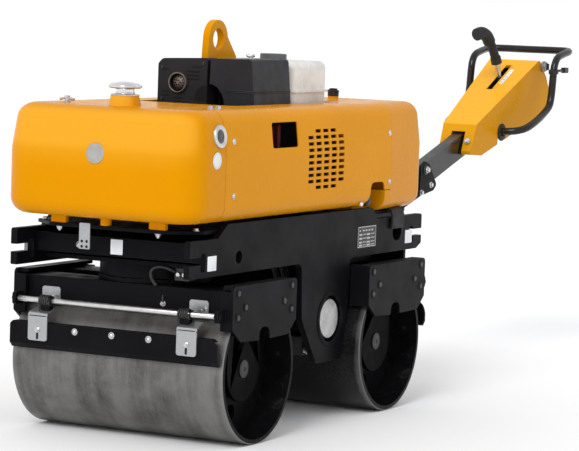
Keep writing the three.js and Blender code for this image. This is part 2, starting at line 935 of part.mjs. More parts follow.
const boxOutline = rounded([
  [-1626, 742, 10],
  [-1673, 850, 12],
  [-2140, 1077, 16],
  [-2200, 1013, 30],
  [-2228, 965, 20],
  [-2230, 906, 16],
  [-2190, 882, 12],
  [-1716, 737, 10],
]);
const innerOutline = [
  [-1600, 700],
  [-1679, 843],
  [-2137, 1069],
  [-2194, 1010],
  [-2221, 965],
  [-2223, 900],
  [-2180, 850],
  [-1710, 700],
];
const boxPlan = [
  [-1600, -60],
  [-1600, 60],
  [-2240, 106],
  [-2240, -106],
];
const innerPlan = [
  [-1690, -62],
  [-1690, 62],
  [-2236, 101],
  [-2236, -101],
];
let shell = slabXZ(boxOutline.slice().reverse(), -120, 120).intersect(slabXY(boxPlan, 600, 1200));
const hollow = slabXZ(innerOutline.slice().reverse(), -120, 120).intersect(
  slabXY(innerPlan, 500, 1200),
);
shell = cut(
  shell,
  hollow,
  // the way in for the drawbar tube
  slabXZ([T(120, -120), T(120, TUBE_HALF_H + 6), T(330, TUBE_HALF_H + 6), T(330, -120)].reverse(), -26, 26),
  // round side openings for the handlebar
  rodY(-1862, 816, 27, -120, 120, 32),
  slabXZ([[-1889, 816], [-1835, 816], [-1835, 720], [-1889, 720]].reverse(), -120, 120),
  // slot for the lever
  slabXY(
    rounded([
      [-2094, -15, 10],
      [-1916, -15, 10],
      [-1916, 15, 10],
      [-2094, 15, 10],
    ]),
    930,
    1120,
  ),
);
add("control_box", shell, YELLOW());

const sidePath = [
  [-1857, 22, 812],
  [-1857, 62, 817],
  [-1858, 104, 821],
  [-1868, 132, 824],
  [-1895, 154, 832],
  [-1952, 165, 852],
  [-2040, 165, 884],
  [-2090, 165, 912],
  [-2106, 165, 952],
  [-2114, 165, 1007],
  [-2124, 165, 1058],
  [-2145, 165, 1084],
  [-2190, 165, 1097],
  [-2250, 165, 1107],
  [-2276, 157, 1110],
  [-2286, 133, 1111],
];
const handlePath = [...sidePath, [-2287, 0, 1111], ...mirrorY(sidePath).reverse()];
add("handlebar", bar(handlePath, 13.5, 10, 96), BLACK());
const leverBody = join(
  taper([-2016, 0, 952], [-2002, 0, 1014], 5.5, 5.5, 12),
  taper([-2003, 0, 1010], [-1977, -3, 1066], 5, 13, 20),
  taper([-1979, -3, 1062], [-1968, -4, 1084], 20, 19, 20),
  bar(
    [
      [-1974, -4, 1072],
      [-1960, -6, 1096],
      [-1940, -9, 1126],
      [-1915, -12, 1154],
    ],
    16.5,
    14,
    10,
  ),
  bar(
    [
      [-1925, -11, 1138],
      [-1905, -15, 1160],
      [-1872, -21, 1170],
      [-1846, -27, 1164],
    ],
    23,
    16,
    10,
  ),
);
add("control_lever", leverBody, RUBBER());

export default group;
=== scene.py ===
import math
import random

import bmesh
import bpy
from mathutils import Matrix, Vector


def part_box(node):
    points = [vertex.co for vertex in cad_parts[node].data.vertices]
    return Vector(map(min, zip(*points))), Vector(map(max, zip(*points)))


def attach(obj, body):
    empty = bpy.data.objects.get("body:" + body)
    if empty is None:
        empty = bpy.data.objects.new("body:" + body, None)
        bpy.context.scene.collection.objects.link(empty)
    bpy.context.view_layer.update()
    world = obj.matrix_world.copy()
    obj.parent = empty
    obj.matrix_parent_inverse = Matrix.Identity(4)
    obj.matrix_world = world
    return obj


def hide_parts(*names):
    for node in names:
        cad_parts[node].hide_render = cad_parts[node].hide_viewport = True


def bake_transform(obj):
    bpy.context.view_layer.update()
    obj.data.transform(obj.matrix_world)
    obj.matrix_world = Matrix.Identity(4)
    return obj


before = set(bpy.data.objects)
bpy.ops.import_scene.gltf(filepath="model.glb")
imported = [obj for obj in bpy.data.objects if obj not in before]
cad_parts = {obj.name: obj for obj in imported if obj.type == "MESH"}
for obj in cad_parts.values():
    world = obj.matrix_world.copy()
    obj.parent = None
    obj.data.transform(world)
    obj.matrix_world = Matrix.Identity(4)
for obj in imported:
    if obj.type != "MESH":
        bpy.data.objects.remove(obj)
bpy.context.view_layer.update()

random.seed(7)

# ------------------------------------------------------------------ places
# Layout frame in millimetres: x = 0 midway between the drum axles, +X the water tank end,
# +Y the machine's left, z = 0 the ground. The shift to the row frame comes from the drums.
_fd, _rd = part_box("front_drum"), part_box("rear_drum")
SHIFT = (_fd[0].x + _fd[1].x + _rd[0].x + _rd[1].x) / 4
AX = ((_fd[0].x + _fd[1].x) - (_rd[0].x + _rd[1].x)) / 4 * 1000  # half the wheelbase
DRUM_R = 212.5


def W(x, y, z):
    return Vector((x / 1000 + SHIFT, y / 1000, z / 1000))


# ------------------------------------------------------------------ camera
cam_data = bpy.data.cameras.new("camera")
cam = bpy.data.objects.new("camera", cam_data)
bpy.context.scene.collection.objects.link(cam)
right = Vector((-0.46741, 0.88335, 0.03491)).normalized()
up = Vector((-0.05664, -0.06933, 0.99598))
back = right.cross(up).normalized()
up = back.cross(right).normalized()
cam.matrix_world = Matrix.Translation((8.19834, 4.1169, 1.2893)) @ Matrix((right, up, back)).transposed().to_4x4()
cam_data.sensor_width = 36
cam_data.lens = 174.55
cam_data.clip_start = 0.1
cam_data.clip_end = 2000
bpy.context.scene.camera = cam
bpy.context.scene.view_settings.view_transform = "Standard"
bpy.context.scene.view_settings.look = "None"


# ------------------------------------------------------------------ materials
class Mat:
    """A node material with short helpers. Coordinates are the object's own, in metres."""

    def __init__(self, name):
        self.m = bpy.data.materials.new(name)
        self.m.use_nodes = True
        self.nt = self.m.node_tree
        self.N, self.L = self.nt.nodes, self.nt.links
        self.b = self.N["Principled BSDF"]
        tc = self.N.new("ShaderNodeTexCoord")
        self.co, self.nrm = tc.outputs["Object"], tc.outputs["Normal"]

    def put(self, sock, v):
        if isinstance(v, bpy.types.NodeSocket):
            self.L.new(v, sock)
        elif sock.type == "RGBA" and len(v) == 3:
            sock.default_value = (*v, 1)
        else:
            sock.default_value = v

    def mapped(self, scale=(1, 1, 1), loc=(0, 0, 0), rot=(0, 0, 0), vec=None):
        n = self.N.new("ShaderNodeMapping")
        self.L.new(vec or self.co, n.inputs["Vector"])
        n.inputs["Scale"].default_value = scale
        n.inputs["Location"].default_value = loc
        n.inputs["Rotation"].default_value = rot
        return n.outputs["Vector"]

    def noise(self, scale, detail=3.0, rough=0.55, vec=None, dist=0.0):
        n = self.N.new("ShaderNodeTexNoise")
        self.L.new(vec or self.co, n.inputs["Vector"])
        n.inputs["Scale"].default_value = scale
        n.inputs["Detail"].default_value = detail
        n.inputs["Roughness"].default_value = rough
        n.inputs["Distortion"].default_value = dist
        return n.outputs["Fac"]

    def voronoi(self, scale, feature="F1", vec=None, out="Distance"):
        n = self.N.new("ShaderNodeTexVoronoi")
        n.feature = feature
        self.L.new(vec or self.co, n.inputs["Vector"])
        n.inputs["Scale"].default_value = scale
        return n.outputs[out]

    def math(self, op, a, b=0.0, c=None, clamp=False):
        n = self.N.new("ShaderNodeMath")
        n.operation = op
        n.use_clamp = clamp
        self.put(n.inputs[0], a)
        self.put(n.inputs[1], b)
        if c is not None:
            self.put(n.inputs[2], c)
        return n.outputs[0]

    def span(self, v, a, b, lo=0.0, hi=1.0, smooth=True):
        n = self.N.new("ShaderNodeMapRange")
        n.interpolation_type = "SMOOTHSTEP" if smooth else "LINEAR"
        self.put(n.inputs["Value"], v)
        for k, x in (("From Min", a), ("From Max", b), ("To Min", lo), ("To Max", hi)):
            n.inputs[k].default_value = x
        return n.outputs["Result"]

    def mix(self, fac, a, b, kind="MIX"):
        n = self.N.new("ShaderNodeMix")
        n.data_type = "RGBA"
        n.blend_type = kind
        self.put(n.inputs[0], fac)
        self.put(n.inputs[6], a)
        self.put(n.inputs[7], b)
        return n.outputs[2]

    def xyz(self, vec):
        n = self.N.new("ShaderNodeSeparateXYZ")
        self.L.new(vec, n.inputs[0])
        return n.outputs

    def bump(self, height, dist, strength=1.0, normal=None):
        n = self.N.new("ShaderNodeBump")
        n.inputs["Strength"].default_value = strength
        n.inputs["Distance"].default_value = dist
        self.L.new(height, n.inputs["Height"])
        if normal is not None:
            self.L.new(normal, n.inputs["Normal"])
        return n.outputs["Normal"]

    def edge(self, radius=0.002, samples=4):
        """1 where the surface turns sharply, 0 on the flat."""
        n = self.N.new("ShaderNodeBevel")
        n.samples = samples
        n.inputs["Radius"].default_value = radius
        g = self.N.new("ShaderNodeNewGeometry")
        d = self.N.new("ShaderNodeVectorMath")
        d.operation = "DOT_PRODUCT"
        self.L.new(n.outputs["Normal"], d.inputs[0])
        self.L.new(g.outputs["True Normal"], d.inputs[1])
        return self.span(d.outputs["Value"], 0.995, 0.86)

    def set(self, **k):
        names = {"color": "Base Color", "rough": "Roughness", "metal": "Metallic", "normal": "Normal",
                 "coat": "Coat Weight", "coat_rough": "Coat Roughness", "spec": "Specular IOR Level",
                 "sheen": "Sheen Weight", "sheen_rough": "Sheen Roughness", "ior": "IOR",
                 "emission": "Emission Color", "glow": "Emission Strength", "trans": "Transmission Weight"}
        for key, v in k.items():
            self.put(self.b.inputs[names[key]], v)
        return self.m


def amber(name, base, plastic=False):
    m = Mat(name)
    big = m.noise(2.2, 2)
    fine = m.noise(38, 3)
    c = m.mix(m.span(big, 0.35, 0.7), tuple(v * 0.965 for v in base), tuple(min(1, v * 1.03) for v in base))
    n = m.xyz(m.nrm)
    dust = m.math("MULTIPLY", m.span(n[2], 0.55, 1.0), m.span(m.noise(14, 5, 0.65), 0.42, 0.78))
    c = m.mix(m.math("MULTIPLY", dust, 0.06), c, (0.62, 0.46, 0.22))
    # downward-facing faces are painted a deeper orange: painted shade
    underside_shade = m.math("MULTIPLY", m.span(n[2], -0.3, -0.95), 0.18)
    c = m.mix(underside_shade, c, (0.55, 0.22, 0.01))
    if plastic:  # painted reflection: the sloping upper wall is painted paler, as if it reflected the bright sky
        # normal-based mask for the painted reflection on the upper wall
        up = m.math("MULTIPLY", m.span(n[2], 0.035, 0.11), m.span(n[0], 0.25, 0.75))
        c = m.mix(m.math("MULTIPLY", up, 0.62), c, (0.84, 0.40, 0.035))
    if name == "amber_box":  # painted light and shade: the lid is painted lighter, as if in full light, and its flanks darker
        c = m.mix(m.span(n[2], 0.25, 0.6), tuple(v * 0.80 for v in base), (0.87, 0.42, 0.022))
    if not plastic:
        e = m.math("MULTIPLY", m.edge(0.0016), m.span(m.noise(90, 4, 0.6), 0.56, 0.72))
        c = m.mix(m.math("MULTIPLY", e, 0.30), c, (0.80, 0.55, 0.20))
    rough = m.math("ADD", m.span(fine, 0.3, 0.7, 0.20, 0.29), m.math("MULTIPLY", dust, 0.16))
    h = m.math("ADD", m.noise(420 if not plastic else 260, 2), m.math("MULTIPLY", m.noise(24, 2), 0.9))
    m.b.inputs["Specular Tint"].default_value = (1.0, 0.74, 0.16, 1)
    return m.set(color=c, rough=rough, metal=0.0, normal=m.bump(h, 0.00001, 0.12), spec=0.07)


def black_paint(name, base=(0.0042, 0.0041, 0.0052), rough=(0.34, 0.48), spec=0.055, grain=320, wear=0.35):
    m = Mat(name)
    mott = m.noise(7, 4, 0.6)
    c = m.mix(m.span(mott, 0.3, 0.72), base, tuple(v * 1.55 for v in base))
    n = m.xyz(m.nrm)
    dust = m.math("MULTIPLY", m.span(n[2], 0.4, 1.0), m.span(m.noise(17, 5, 0.65), 0.36, 0.8))
    c = m.mix(m.math("MULTIPLY", dust, 0.07), c, (0.13, 0.12, 0.115))
    e = m.math("MULTIPLY", m.edge(0.0018), m.span(m.noise(70, 4, 0.65), 0.42, 0.66))
    c = m.mix(m.math("MULTIPLY", e, wear), c, (0.12, 0.115, 0.115))
    scr = m.span(m.noise(60, 5, 0.7, m.mapped((1, 1, 7))), 0.68, 0.8)
    c = m.mix(m.math("MULTIPLY", scr, 0.14), c, (0.06, 0.06, 0.062))
    r = m.math("ADD", m.span(m.noise(11, 4, 0.6), 0.3, 0.7, *rough), m.math("MULTIPLY", dust, 0.25))
    h = m.math("ADD", m.noise(grain, 2), m.math("MULTIPLY", m.noise(40, 3), 0.8))
    return m.set(color=c, rough=r, metal=0.0, normal=m.bump(h, 0.00010, 0.6), spec=spec)


def zinc(name, base=(0.60, 0.61, 0.62), rough=(0.30, 0.46), metal=0.85):
    m = Mat(name)
    cell = m.voronoi(260, out="Color")
    sp = m.xyz(cell)[0]
    c = m.mix(m.math("MULTIPLY", sp, 0.45), base, tuple(v * 0.80 for v in base))
    stain = m.span(m.noise(48, 5, 0.7), 0.56, 0.78)
    c = m.mix(m.math("MULTIPLY", stain, 0.35), c, (0.34, 0.32, 0.29))
    r = m.span(m.noise(85, 4, 0.6), 0.3, 0.7, *rough)
    return m.set(color=c, rough=r, metal=metal, normal=m.bump(m.noise(700, 2), 0.00003, 0.5))


def drum_steel(name, cx, dark=False):
    m = Mat(name)
    p = m.mapped(loc=(-cx, 0, -DRUM_R / 1000))
    s = m.xyz(p)
    r = m.math("SQRT", m.math("ADD", m.math("MULTIPLY", s[0], s[0]), m.math("MULTIPLY", s[2], s[2])))
    shell = m.span(r, 0.2090, 0.2101, smooth=False)
    inner = m.span(r, 0.1935, 0.1990)
    # bands that run round the drum, cloudy scuffs, and short scratches across it
    band = m.noise(1.0, 5, 0.62, m.mapped((2.2, 26, 2.2), vec=p))
    broad = m.noise(1.0, 3, 0.5, m.mapped((1.6, 7.5, 1.6), loc=(3, 1, 7), vec=p))
    cloud = m.noise(9, 6, 0.66, vec=p, dist=0.35)
    fine = m.noise(130, 4, 0.7, vec=p)
    tone = m.math("ADD", m.math("MULTIPLY", band, 0.30), m.math("MULTIPLY", broad, 0.34))
    tone = m.math("ADD", tone, m.math("MULTIPLY", cloud, 0.36))
    # dark gives the rear drum a darkened copy of the same steel: painted shade
    lo, hi = ((0.004, 0.004, 0.0045), (0.010, 0.010, 0.011)) if dark else ((0.070, 0.066, 0.061), (0.205, 0.202, 0.196))
    c = m.mix(m.span(tone, 0.36, 0.64), lo, hi)
    nick = m.span(m.noise(1.0, 3, 0.6, m.mapped((95, 22, 95), vec=p)), 0.69, 0.78)
    c = m.mix(m.math("MULTIPLY", nick, 0.04 if dark else 0.4), c, (0.36, 0.36, 0.355))
    spot = m.span(m.noise(46, 5, 0.7, vec=p), 0.66, 0.78)
    c = m.mix(m.math("MULTIPLY", spot, 0.4), c, (0.085, 0.075, 0.065))
    c = m.mix(m.span(fine, 0.35, 0.75, 0.0, 0.04 if dark else 0.16), c, (0.27, 0.267, 0.26))
    # lighter, more metallic steel near both ends: wear on the front drum, a painted highlight on the rear drum
    endy = m.math("ABSOLUTE", s[1])
    rim_wear_and_highlight = m.span(m.math("ADD", endy, m.math("MULTIPLY", m.noise(16, 4, 0.6, vec=p), 0.02)), 0.338, 0.358)
    c = m.mix(m.math("MULTIPLY", rim_wear_and_highlight, 0.42 if dark else 0.35), c, (0.34, 0.335, 0.33))
    paint = m.mix(m.span(m.noise(12, 4, 0.6, vec=p), 0.3, 0.75), (0.0035, 0.0035, 0.0045), (0.0085, 0.0085, 0.0095))
    grime = m.math("MULTIPLY", m.span(m.noise(26, 5, 0.7, vec=p), 0.55, 0.75), inner)
    paint = m.mix(m.math("MULTIPLY", grime, 0.5), paint, (0.06, 0.055, 0.05))
    color = m.mix(shell, paint, c)
    rg = m.math("ADD", m.span(tone, 0.35, 0.65, 0.50, 0.36), m.span(fine, 0.3, 0.7, -0.05, 0.07))
    rough = m.math("ADD", m.math("MULTIPLY", rg, shell), m.math("MULTIPLY", m.math("SUBTRACT", 1.0, shell), 0.42))
    metal = m.math("MULTIPLY", shell, m.math("ADD", 0.15, m.math("MULTIPLY", rim_wear_and_highlight, 0.5)) if dark else 0.62)
    if dark:
        rough = m.math("MULTIPLY", rough, 0.5)
    h = m.math("ADD", m.math("MULTIPLY", fine, 0.6), m.noise(1.0, 4, 0.6, m.mapped((9, 190, 9), vec=p)))
    if dark:
        h = m.math("MULTIPLY", h, 0.15)
    return m.set(color=color, rough=rough, metal=metal, normal=m.bump(h, 0.00022, 0.7), spec=m.math("ADD", m.math("MULTIPLY", shell, 0.30), 0.06))


def plastic(name, base, rough=(0.42, 0.56), grain=520, depth=0.00012, spec=0.35):
    m = Mat(name)
    c = m.mix(m.span(m.noise(10, 4, 0.6), 0.3, 0.7), base, tuple(v * 1.35 for v in base))
    n = m.xyz(m.nrm)
    dust = m.math("MULTIPLY", m.span(n[2], 0.5, 1.0), m.span(m.noise(30, 5, 0.65), 0.42, 0.8))
    c = m.mix(m.math("MULTIPLY", dust, 0.14), c, (0.22, 0.21, 0.20))
    r = m.math("ADD", m.span(m.noise(26, 3), 0.3, 0.7, *rough), m.math("MULTIPLY", dust, 0.2))
    return m.set(color=c, rough=r, normal=m.bump(m.voronoi(grain), depth, 0.5), spec=spec)


def metal(name, base, rough=(0.2, 0.3), metallic=1.0, grain=300, depth=0.00003, tint=None):
    m = Mat(name)
    c = m.mix(m.span(m.noise(30, 4, 0.6), 0.35, 0.7), base, tuple(v * 0.82 for v in base))
    if tint:
        c = m.mix(m.span(m.noise(22, 5, 0.65), 0.40, 0.62), c, tint)
    r = m.span(m.noise(75, 4, 0.6), 0.3, 0.7, *rough)
    return m.set(color=c, rough=r, metal=metallic, normal=m.bump(m.noise(grain, 3), depth, 0.6))


YELLOW = amber("amber_paint", (0.69, 0.276, 0.0006))
YELLOW_BOX = amber("amber_box", (0.74, 0.315, 0.0040))
YELLOW_TANK = amber("amber_tank", (0.665, 0.262, 0.0010), plastic=True)
BLACK = black_paint("black_paint")
BLACK_GLOSS = black_paint("black_tube_paint", base=(0.0065, 0.0065, 0.0072), rough=(0.16, 0.26), spec=0.34, grain=200, wear=0.2)
# a darker, duller copy of the black paint for the axle supports deep in the drum ends: painted shade
BLACK_SHADED = black_paint("black_paint_shaded", base=(0.0022, 0.0022, 0.0028), rough=(0.42, 0.55), spec=0.03, wear=0.15)
GUARD = black_paint("black_heat_paint", base=(0.014, 0.014, 0.015), rough=(0.46, 0.60), spec=0.16, grain=600)
ZINC = zinc("zinc_plate", base=(0.44, 0.45, 0.455))
ROD = metal("bright_rod", (0.70, 0.70, 0.69), (0.30, 0.38), 0.9, grain=60, depth=0.000002)
BOLT = metal("bolt_zinc", (0.66, 0.665, 0.67), (0.24, 0.38))
BOLT_BLACK = black_paint("bolt_black", base=(0.014, 0.014, 0.015), rough=(0.34, 0.5), spec=0.45, wear=0.7)
CHROME = metal("chrome_cap", (0.80, 0.81, 0.84), (0.05, 0.10), depth=0.00001)
STEEL_F = drum_steel("drum_steel_front", AX / 1000 + SHIFT)
# the rear drum uses a darkened copy of the drum steel: painted shade
STEEL_R = drum_steel("drum_steel_rear", -AX / 1000 + SHIFT, dark=True)
PLASTIC = plastic("air_box_plastic", (0.0145, 0.0145, 0.018), spec=0.22)
PLASTIC_DARK = plastic("black_moulding", (0.014, 0.014, 0.015), rough=(0.36, 0.5))
CREAM = plastic("tank_enamel", (0.56, 0.555, 0.53), rough=(0.24, 0.34), grain=300, depth=0.00003, spec=0.45)
RUBBER = plastic("grip_rubber", (0.013, 0.013, 0.013), rough=(0.55, 0.72), grain=700, depth=0.00016, spec=0.3)
IRON = metal("cast_iron_paint", (0.045, 0.045, 0.047), (0.5, 0.7), 0.35, grain=160, depth=0.0005)
HEAT = metal("heat_tinted_steel", (0.20, 0.18, 0.165), (0.40, 0.56), 0.7, grain=240, depth=0.00008, tint=(0.12, 0.085, 0.065))
ALLOY = metal("cast_alloy", (0.36, 0.36, 0.365), (0.38, 0.55), 0.8, grain=340, depth=0.0002)
BADGE = metal("blank_badge_metal", (0.46, 0.45, 0.42), (0.30, 0.42), 0.6)
LABEL = plastic("blank_label", (0.70, 0.71, 0.72), rough=(0.36, 0.5), grain=900, depth=0.00001, spec=0.4)
COVER = metal("cover_alloy", (0.50, 0.50, 0.50), (0.30, 0.46), 0.55, grain=220, depth=0.00005, tint=(0.62, 0.62, 0.61))
BOLT_YOKE = black_paint("bolt_head", base=(0.020, 0.020, 0.022), rough=(0.30, 0.42), spec=0.3, wear=0.8)
GREY_CAP = plastic("grey_cap", (0.085, 0.088, 0.092), rough=(0.36, 0.5), grain=420, depth=0.00006, spec=0.4)
LABEL_LINE = plastic("label_line", (0.40, 0.41, 0.42), rough=(0.4, 0.5), grain=900, depth=0.00001)
PLATE = metal("data_plate", (0.030, 0.030, 0.032), (0.30, 0.42), 0.4)
PLATE_LINE = metal("data_plate_line", (0.55, 0.55, 0.55), (0.3, 0.4), 0.8)
LENS = plastic("gauge_face", (0.05, 0.052, 0.056), rough=(0.12, 0.2), grain=200, depth=0.00006, spec=0.6)
RED = plastic("engine_red", (0.085, 0.008, 0.007), rough=(0.3, 0.42), grain=400, depth=0.00004)
# near-black sheets put into holes, slots, recesses and openings: painted shade
DARK = plastic("painted_shade_dark", (0.007, 0.0068, 0.0065), rough=(0.6, 0.8), grain=300, depth=0.0001, spec=0.15)
HOSE = plastic("hose_rubber", (0.012, 0.012, 0.012), rough=(0.34, 0.5), grain=420, depth=0.0001, spec=0.45)


# ------------------------------------------------------------------ clean, bevelled, smooth CAD nodes
def _tree(name):
    g = bpy.data.node_groups.new(name, "GeometryNodeTree")
    g.interface.new_socket("Geometry", in_out="INPUT", socket_type="NodeSocketGeometry")
    g.interface.new_socket("Geometry", in_out="OUTPUT", socket_type="NodeSocketGeometry")
    return g, g.nodes.new("NodeGroupInput"), g.nodes.new("NodeGroupOutput")


def weld_tree():
    g, gi, go = _tree("weld")
    rm = g.nodes.new("GeometryNodeRemoveAttribute")
    rm.inputs["Name"].default_value = "custom_normal"
    mg = g.nodes.new("GeometryNodeMergeByDistance")
    mg.inputs["Distance"].default_value = 1e-5
    g.links.new(gi.outputs[0], rm.inputs["Geometry"])
    g.links.new(rm.outputs["Geometry"], mg.inputs["Geometry"])
    g.links.new(mg.outputs["Geometry"], go.inputs[0])
    return g


def smooth_tree(angle):
    g, gi, go = _tree(f"smooth_{angle}")
    f = g.nodes.new("GeometryNodeSetShadeSmooth")
    f.domain = "FACE"
    e = g.nodes.new("GeometryNodeSetShadeSmooth")
    e.domain = "EDGE"
    ang = g.nodes.new("GeometryNodeInputMeshEdgeAngle")
    cmp = g.nodes.new("FunctionNodeCompare")
    cmp.data_type = "FLOAT"
    cmp.operation = "LESS_EQUAL"
    cmp.inputs[1].default_value = math.radians(angle)
    g.links.new(gi.outputs[0], f.inputs["Geometry"])
    g.links.new(f.outputs["Geometry"], e.inputs["Geometry"])
    g.links.new(ang.outputs["Unsigned Angle"], cmp.inputs[0])
    g.links.new(cmp.outputs["Result"], e.inputs["Shade Smooth"])
    g.links.new(e.outputs["Geometry"], go.inputs[0])
    return g


WELD = weld_tree()
SMOOTH = {a: smooth_tree(a) for a in (30, 50)}


def finish_node(name, mat, width=1.5, seg=2, angle=32, smooth=30):
    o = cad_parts[name]
    o.data.materials.clear()
    o.data.materials.append(mat)
    m = o.modifiers.new("weld", "NODES")
    m.node_group = WELD
    if width:
        d = o.modifiers.new("flat", "DECIMATE")
        d.decimate_type = "DISSOLVE"
        d.angle_limit = math.radians(0.4)
        b = o.modifiers.new("edges", "BEVEL")
        b.width = width / 1000
        b.segments = seg
        b.limit_method = "ANGLE"
        b.angle_limit = math.radians(angle)
        b.use_clamp_overlap = True
        b.harden_normals = False
    s = o.modifiers.new("smooth", "NODES")
    s.node_group = SMOOTH[smooth]
    w = o.modifiers.new("normals", "WEIGHTED_NORMAL")
    w.keep_sharp = True
    return o


for n in ("frame_plate_left", "frame_plate_right"):
    finish_node(n, BLACK, 2.0)
for n in ("front_cross_plate", "rear_cross_plate", "deck", "turntable_deck", "rear_yoke_pedestal"):
    finish_node(n, BLACK, 1.5)
for n in ("turntable_upper", "turntable_lower", "exciter_housing"):
    finish_node(n, BLACK, 2.0)
for n in ("exciter_cover_left", "exciter_cover_right"):
    finish_node(n, COVER, 1.0)
for e in ("front", "rear"):
    for s in ("left", "right"):
        finish_node(f"{e}_yoke_{s}", BLACK, 2.2)
        finish_node(f"{e}_axle_support_{s}", BLACK_SHADED, 2.0)
    finish_node(f"{e}_yoke_beam_front", BLACK, 2.5, 3)
    finish_node(f"{e}_yoke_beam_rear", BLACK, 2.5, 3)
    finish_node(f"{e}_scraper_bar", BLACK, 1.2)
    finish_node(f"{e}_scraper_hanger", ZINC, 0.8, smooth=50)
finish_node("front_drum", STEEL_F, 0)
finish_node("rear_drum", STEEL_R, 0)
finish_node("water_tank", YELLOW_TANK, 3.0, 3, angle=40)
finish_node("rear_tank", YELLOW_TANK, 3.0, 3, angle=40)
finish_node("water_cap", CHROME, 0)
finish_node("hood_panel_left", YELLOW, 1.0, 2, angle=40)
finish_node("hood_panel_right", YELLOW, 1.0, 2, angle=40)
finish_node("hood_top", YELLOW, 1.0)
finish_node("rear_tank_cap", PLASTIC_DARK, 1.0)
finish_node("engine_block", IRON, 6.0, 3)
finish_node("muffler", GUARD, 1.5)
finish_node("air_cleaner", PLASTIC, 4.0, 3)
finish_node("fuel_tank", CREAM, 4.0, 3)
finish_node("fuel_cap", GREY_CAP, 2.0)
finish_node("steering_hose", HOSE, 0, smooth=50)
finish_node("lifting_eye", YELLOW, 2.0)
finish_node("drawbar_bracket", BLACK, 1.5)
finish_node("drawbar_tube", BLACK_GLOSS, 3.5, 3)
finish_node("control_box", YELLOW_BOX, 4.0, 4, angle=40)
finish_node("handlebar", BLACK_GLOSS, 0, smooth=50)
finish_node("control_lever", RUBBER, 0, smooth=50)


# ------------------------------------------------------------------ mesh helpers (layout millimetres)
def basis(origin, normal, ref=None):
    z = Vector(normal).normalized()
    ref = Vector(ref) if ref else (Vector((0, 0, 1)) if abs(z.z) < 0.9 else Vector((1, 0, 0)))
    x = ref.cross(z).normalized()
    y = z.cross(x)
    return Matrix.Translation(Vector(origin)) @ Matrix((x, y, z)).transposed().to_4x4()


def lathe(bm, M, prof, seg=32, lobes=None, turn=0.0):
    """prof is a list of (radius, height) along M's z; the ends are on the axis, or it closes on itself."""
    rings = []
    for r, h in prof:
        if r <= 1e-6:
            rings.append([bm.verts.new(M @ Vector((0, 0, h)))])
            continue
        ring = []
        for i in range(seg):
            a = 2 * math.pi * i / seg + turn
            rr = lobes(r, a) if lobes else r
            ring.append(bm.verts.new(M @ Vector((rr * math.cos(a), rr * math.sin(a), h))))
        rings.append(ring)
    closed = prof[0][0] > 1e-6 and prof[-1][0] > 1e-6
    pairs = list(zip(rings, rings[1:])) + ([(rings[-1], rings[0])] if closed else [])
    for a, b in pairs:
        if len(a) == 1 and len(b) == 1:
            continue
        for i in range(seg):
            j = (i + 1) % seg
            if len(a) == 1:
                bm.faces.new((a[0], b[i], b[j]))
            elif len(b) == 1:
                bm.faces.new((a[i], b[0], a[j]))
            else:
                bm.faces.new((a[i], b[i], b[j], a[j]))


def hexbolt(bm, pos, n, r=8, h=6, washer=1.5, turn=None, stud=0):
    M = basis(pos, n)
    t = random.uniform(0, math.pi / 3) if turn is None else turn
    if washer:
        lathe(bm, M, [(0, -1), (r * 1.32, -1), (r * 1.32, washer - 0.3), (r * 1.27, washer), (0, washer)], 24)
    lathe(bm, M, [(0, washer), (r, washer), (r, washer + h - 1), (r * 0.86, washer + h), (0, washer + h)], 6, turn=t)
    if stud:
        lathe(bm, M, [(0, washer + h - 1), (r * 0.52, washer + h - 1), (r * 0.52, washer + h + stud - 1), (r * 0.42, washer + h + stud), (0, washer + h + stud)], 16)


def panscrew(bm, pos, n, r=8, h=4, washer=True):
    M = basis(pos, n)
    if washer:
        lathe(bm, M, [(0, -0.6), (r * 1.3, -0.6), (r * 1.3, 0.9), (r * 1.22, 1.2), (0, 1.2)], 24)
    prof = [(0, 1), (r, 1), (r, 1.6)] + [(r * math.cos(a), 1.6 + h * math.sin(a)) for a in (0.4, 0.8, 1.15)]
    prof += [(r * 0.34, 1.6 + h), (r * 0.34, h - 0.4), (0, h - 0.4)]
    lathe(bm, M, prof, 24)


def socket_bolt(bm, pos, n, r=11, h=5):
    M = basis(pos, n)
    lathe(bm, M, [(0, 0), (r, 0), (r, h - 1), (r - 1, h), (r * 0.55, h), (r * 0.55, h - 4), (0, h - 4)], 28)


def cuboid(bm, x0, x1, y0, y1, z0, z1, M=None):
    v = [Vector((x, y, z)) for x in (x0, x1) for y in (y0, y1) for z in (z0, z1)]
    if M is not None:
        v = [M @ p for p in v]
    v = [bm.verts.new(p) for p in v]
    for f in ((0, 1, 3, 2), (4, 6, 7, 5), (0, 4, 5, 1), (2, 3, 7, 6), (0, 2, 6, 4), (1, 5, 7, 3)):
        bm.faces.new([v[i] for i in f])


def prism(bm, pts, M, a, b, holes=()):
    """A flat outline in M's xy plane, from height a to b."""
    lo = [bm.verts.new(M @ Vector((x, y, a))) for x, y in pts]
    hi = [bm.verts.new(M @ Vector((x, y, b))) for x, y in pts]
    k = len(pts)
    bm.faces.new(list(reversed(lo)))
    bm.faces.new(hi)
    for i in range(k):
        j = (i + 1) % k
        bm.faces.new((lo[i], lo[j], hi[j], hi[i]))


def catmull(pts, n=8):
    P = [Vector(p) for p in pts]
    P = [P[0] * 2 - P[1]] + P + [P[-1] * 2 - P[-2]]
    out = []
    for i in range(1, len(P) - 2):
        a, b, c, d = P[i - 1:i + 3]
        for k in range(n):
            t = k / n
            out.append(0.5 * ((2 * b) + (c - a) * t + (2 * a - 5 * b + 4 * c - d) * t * t + (3 * b - a - 3 * c + d) * t ** 3))
    out.append(P[-2])
    return out


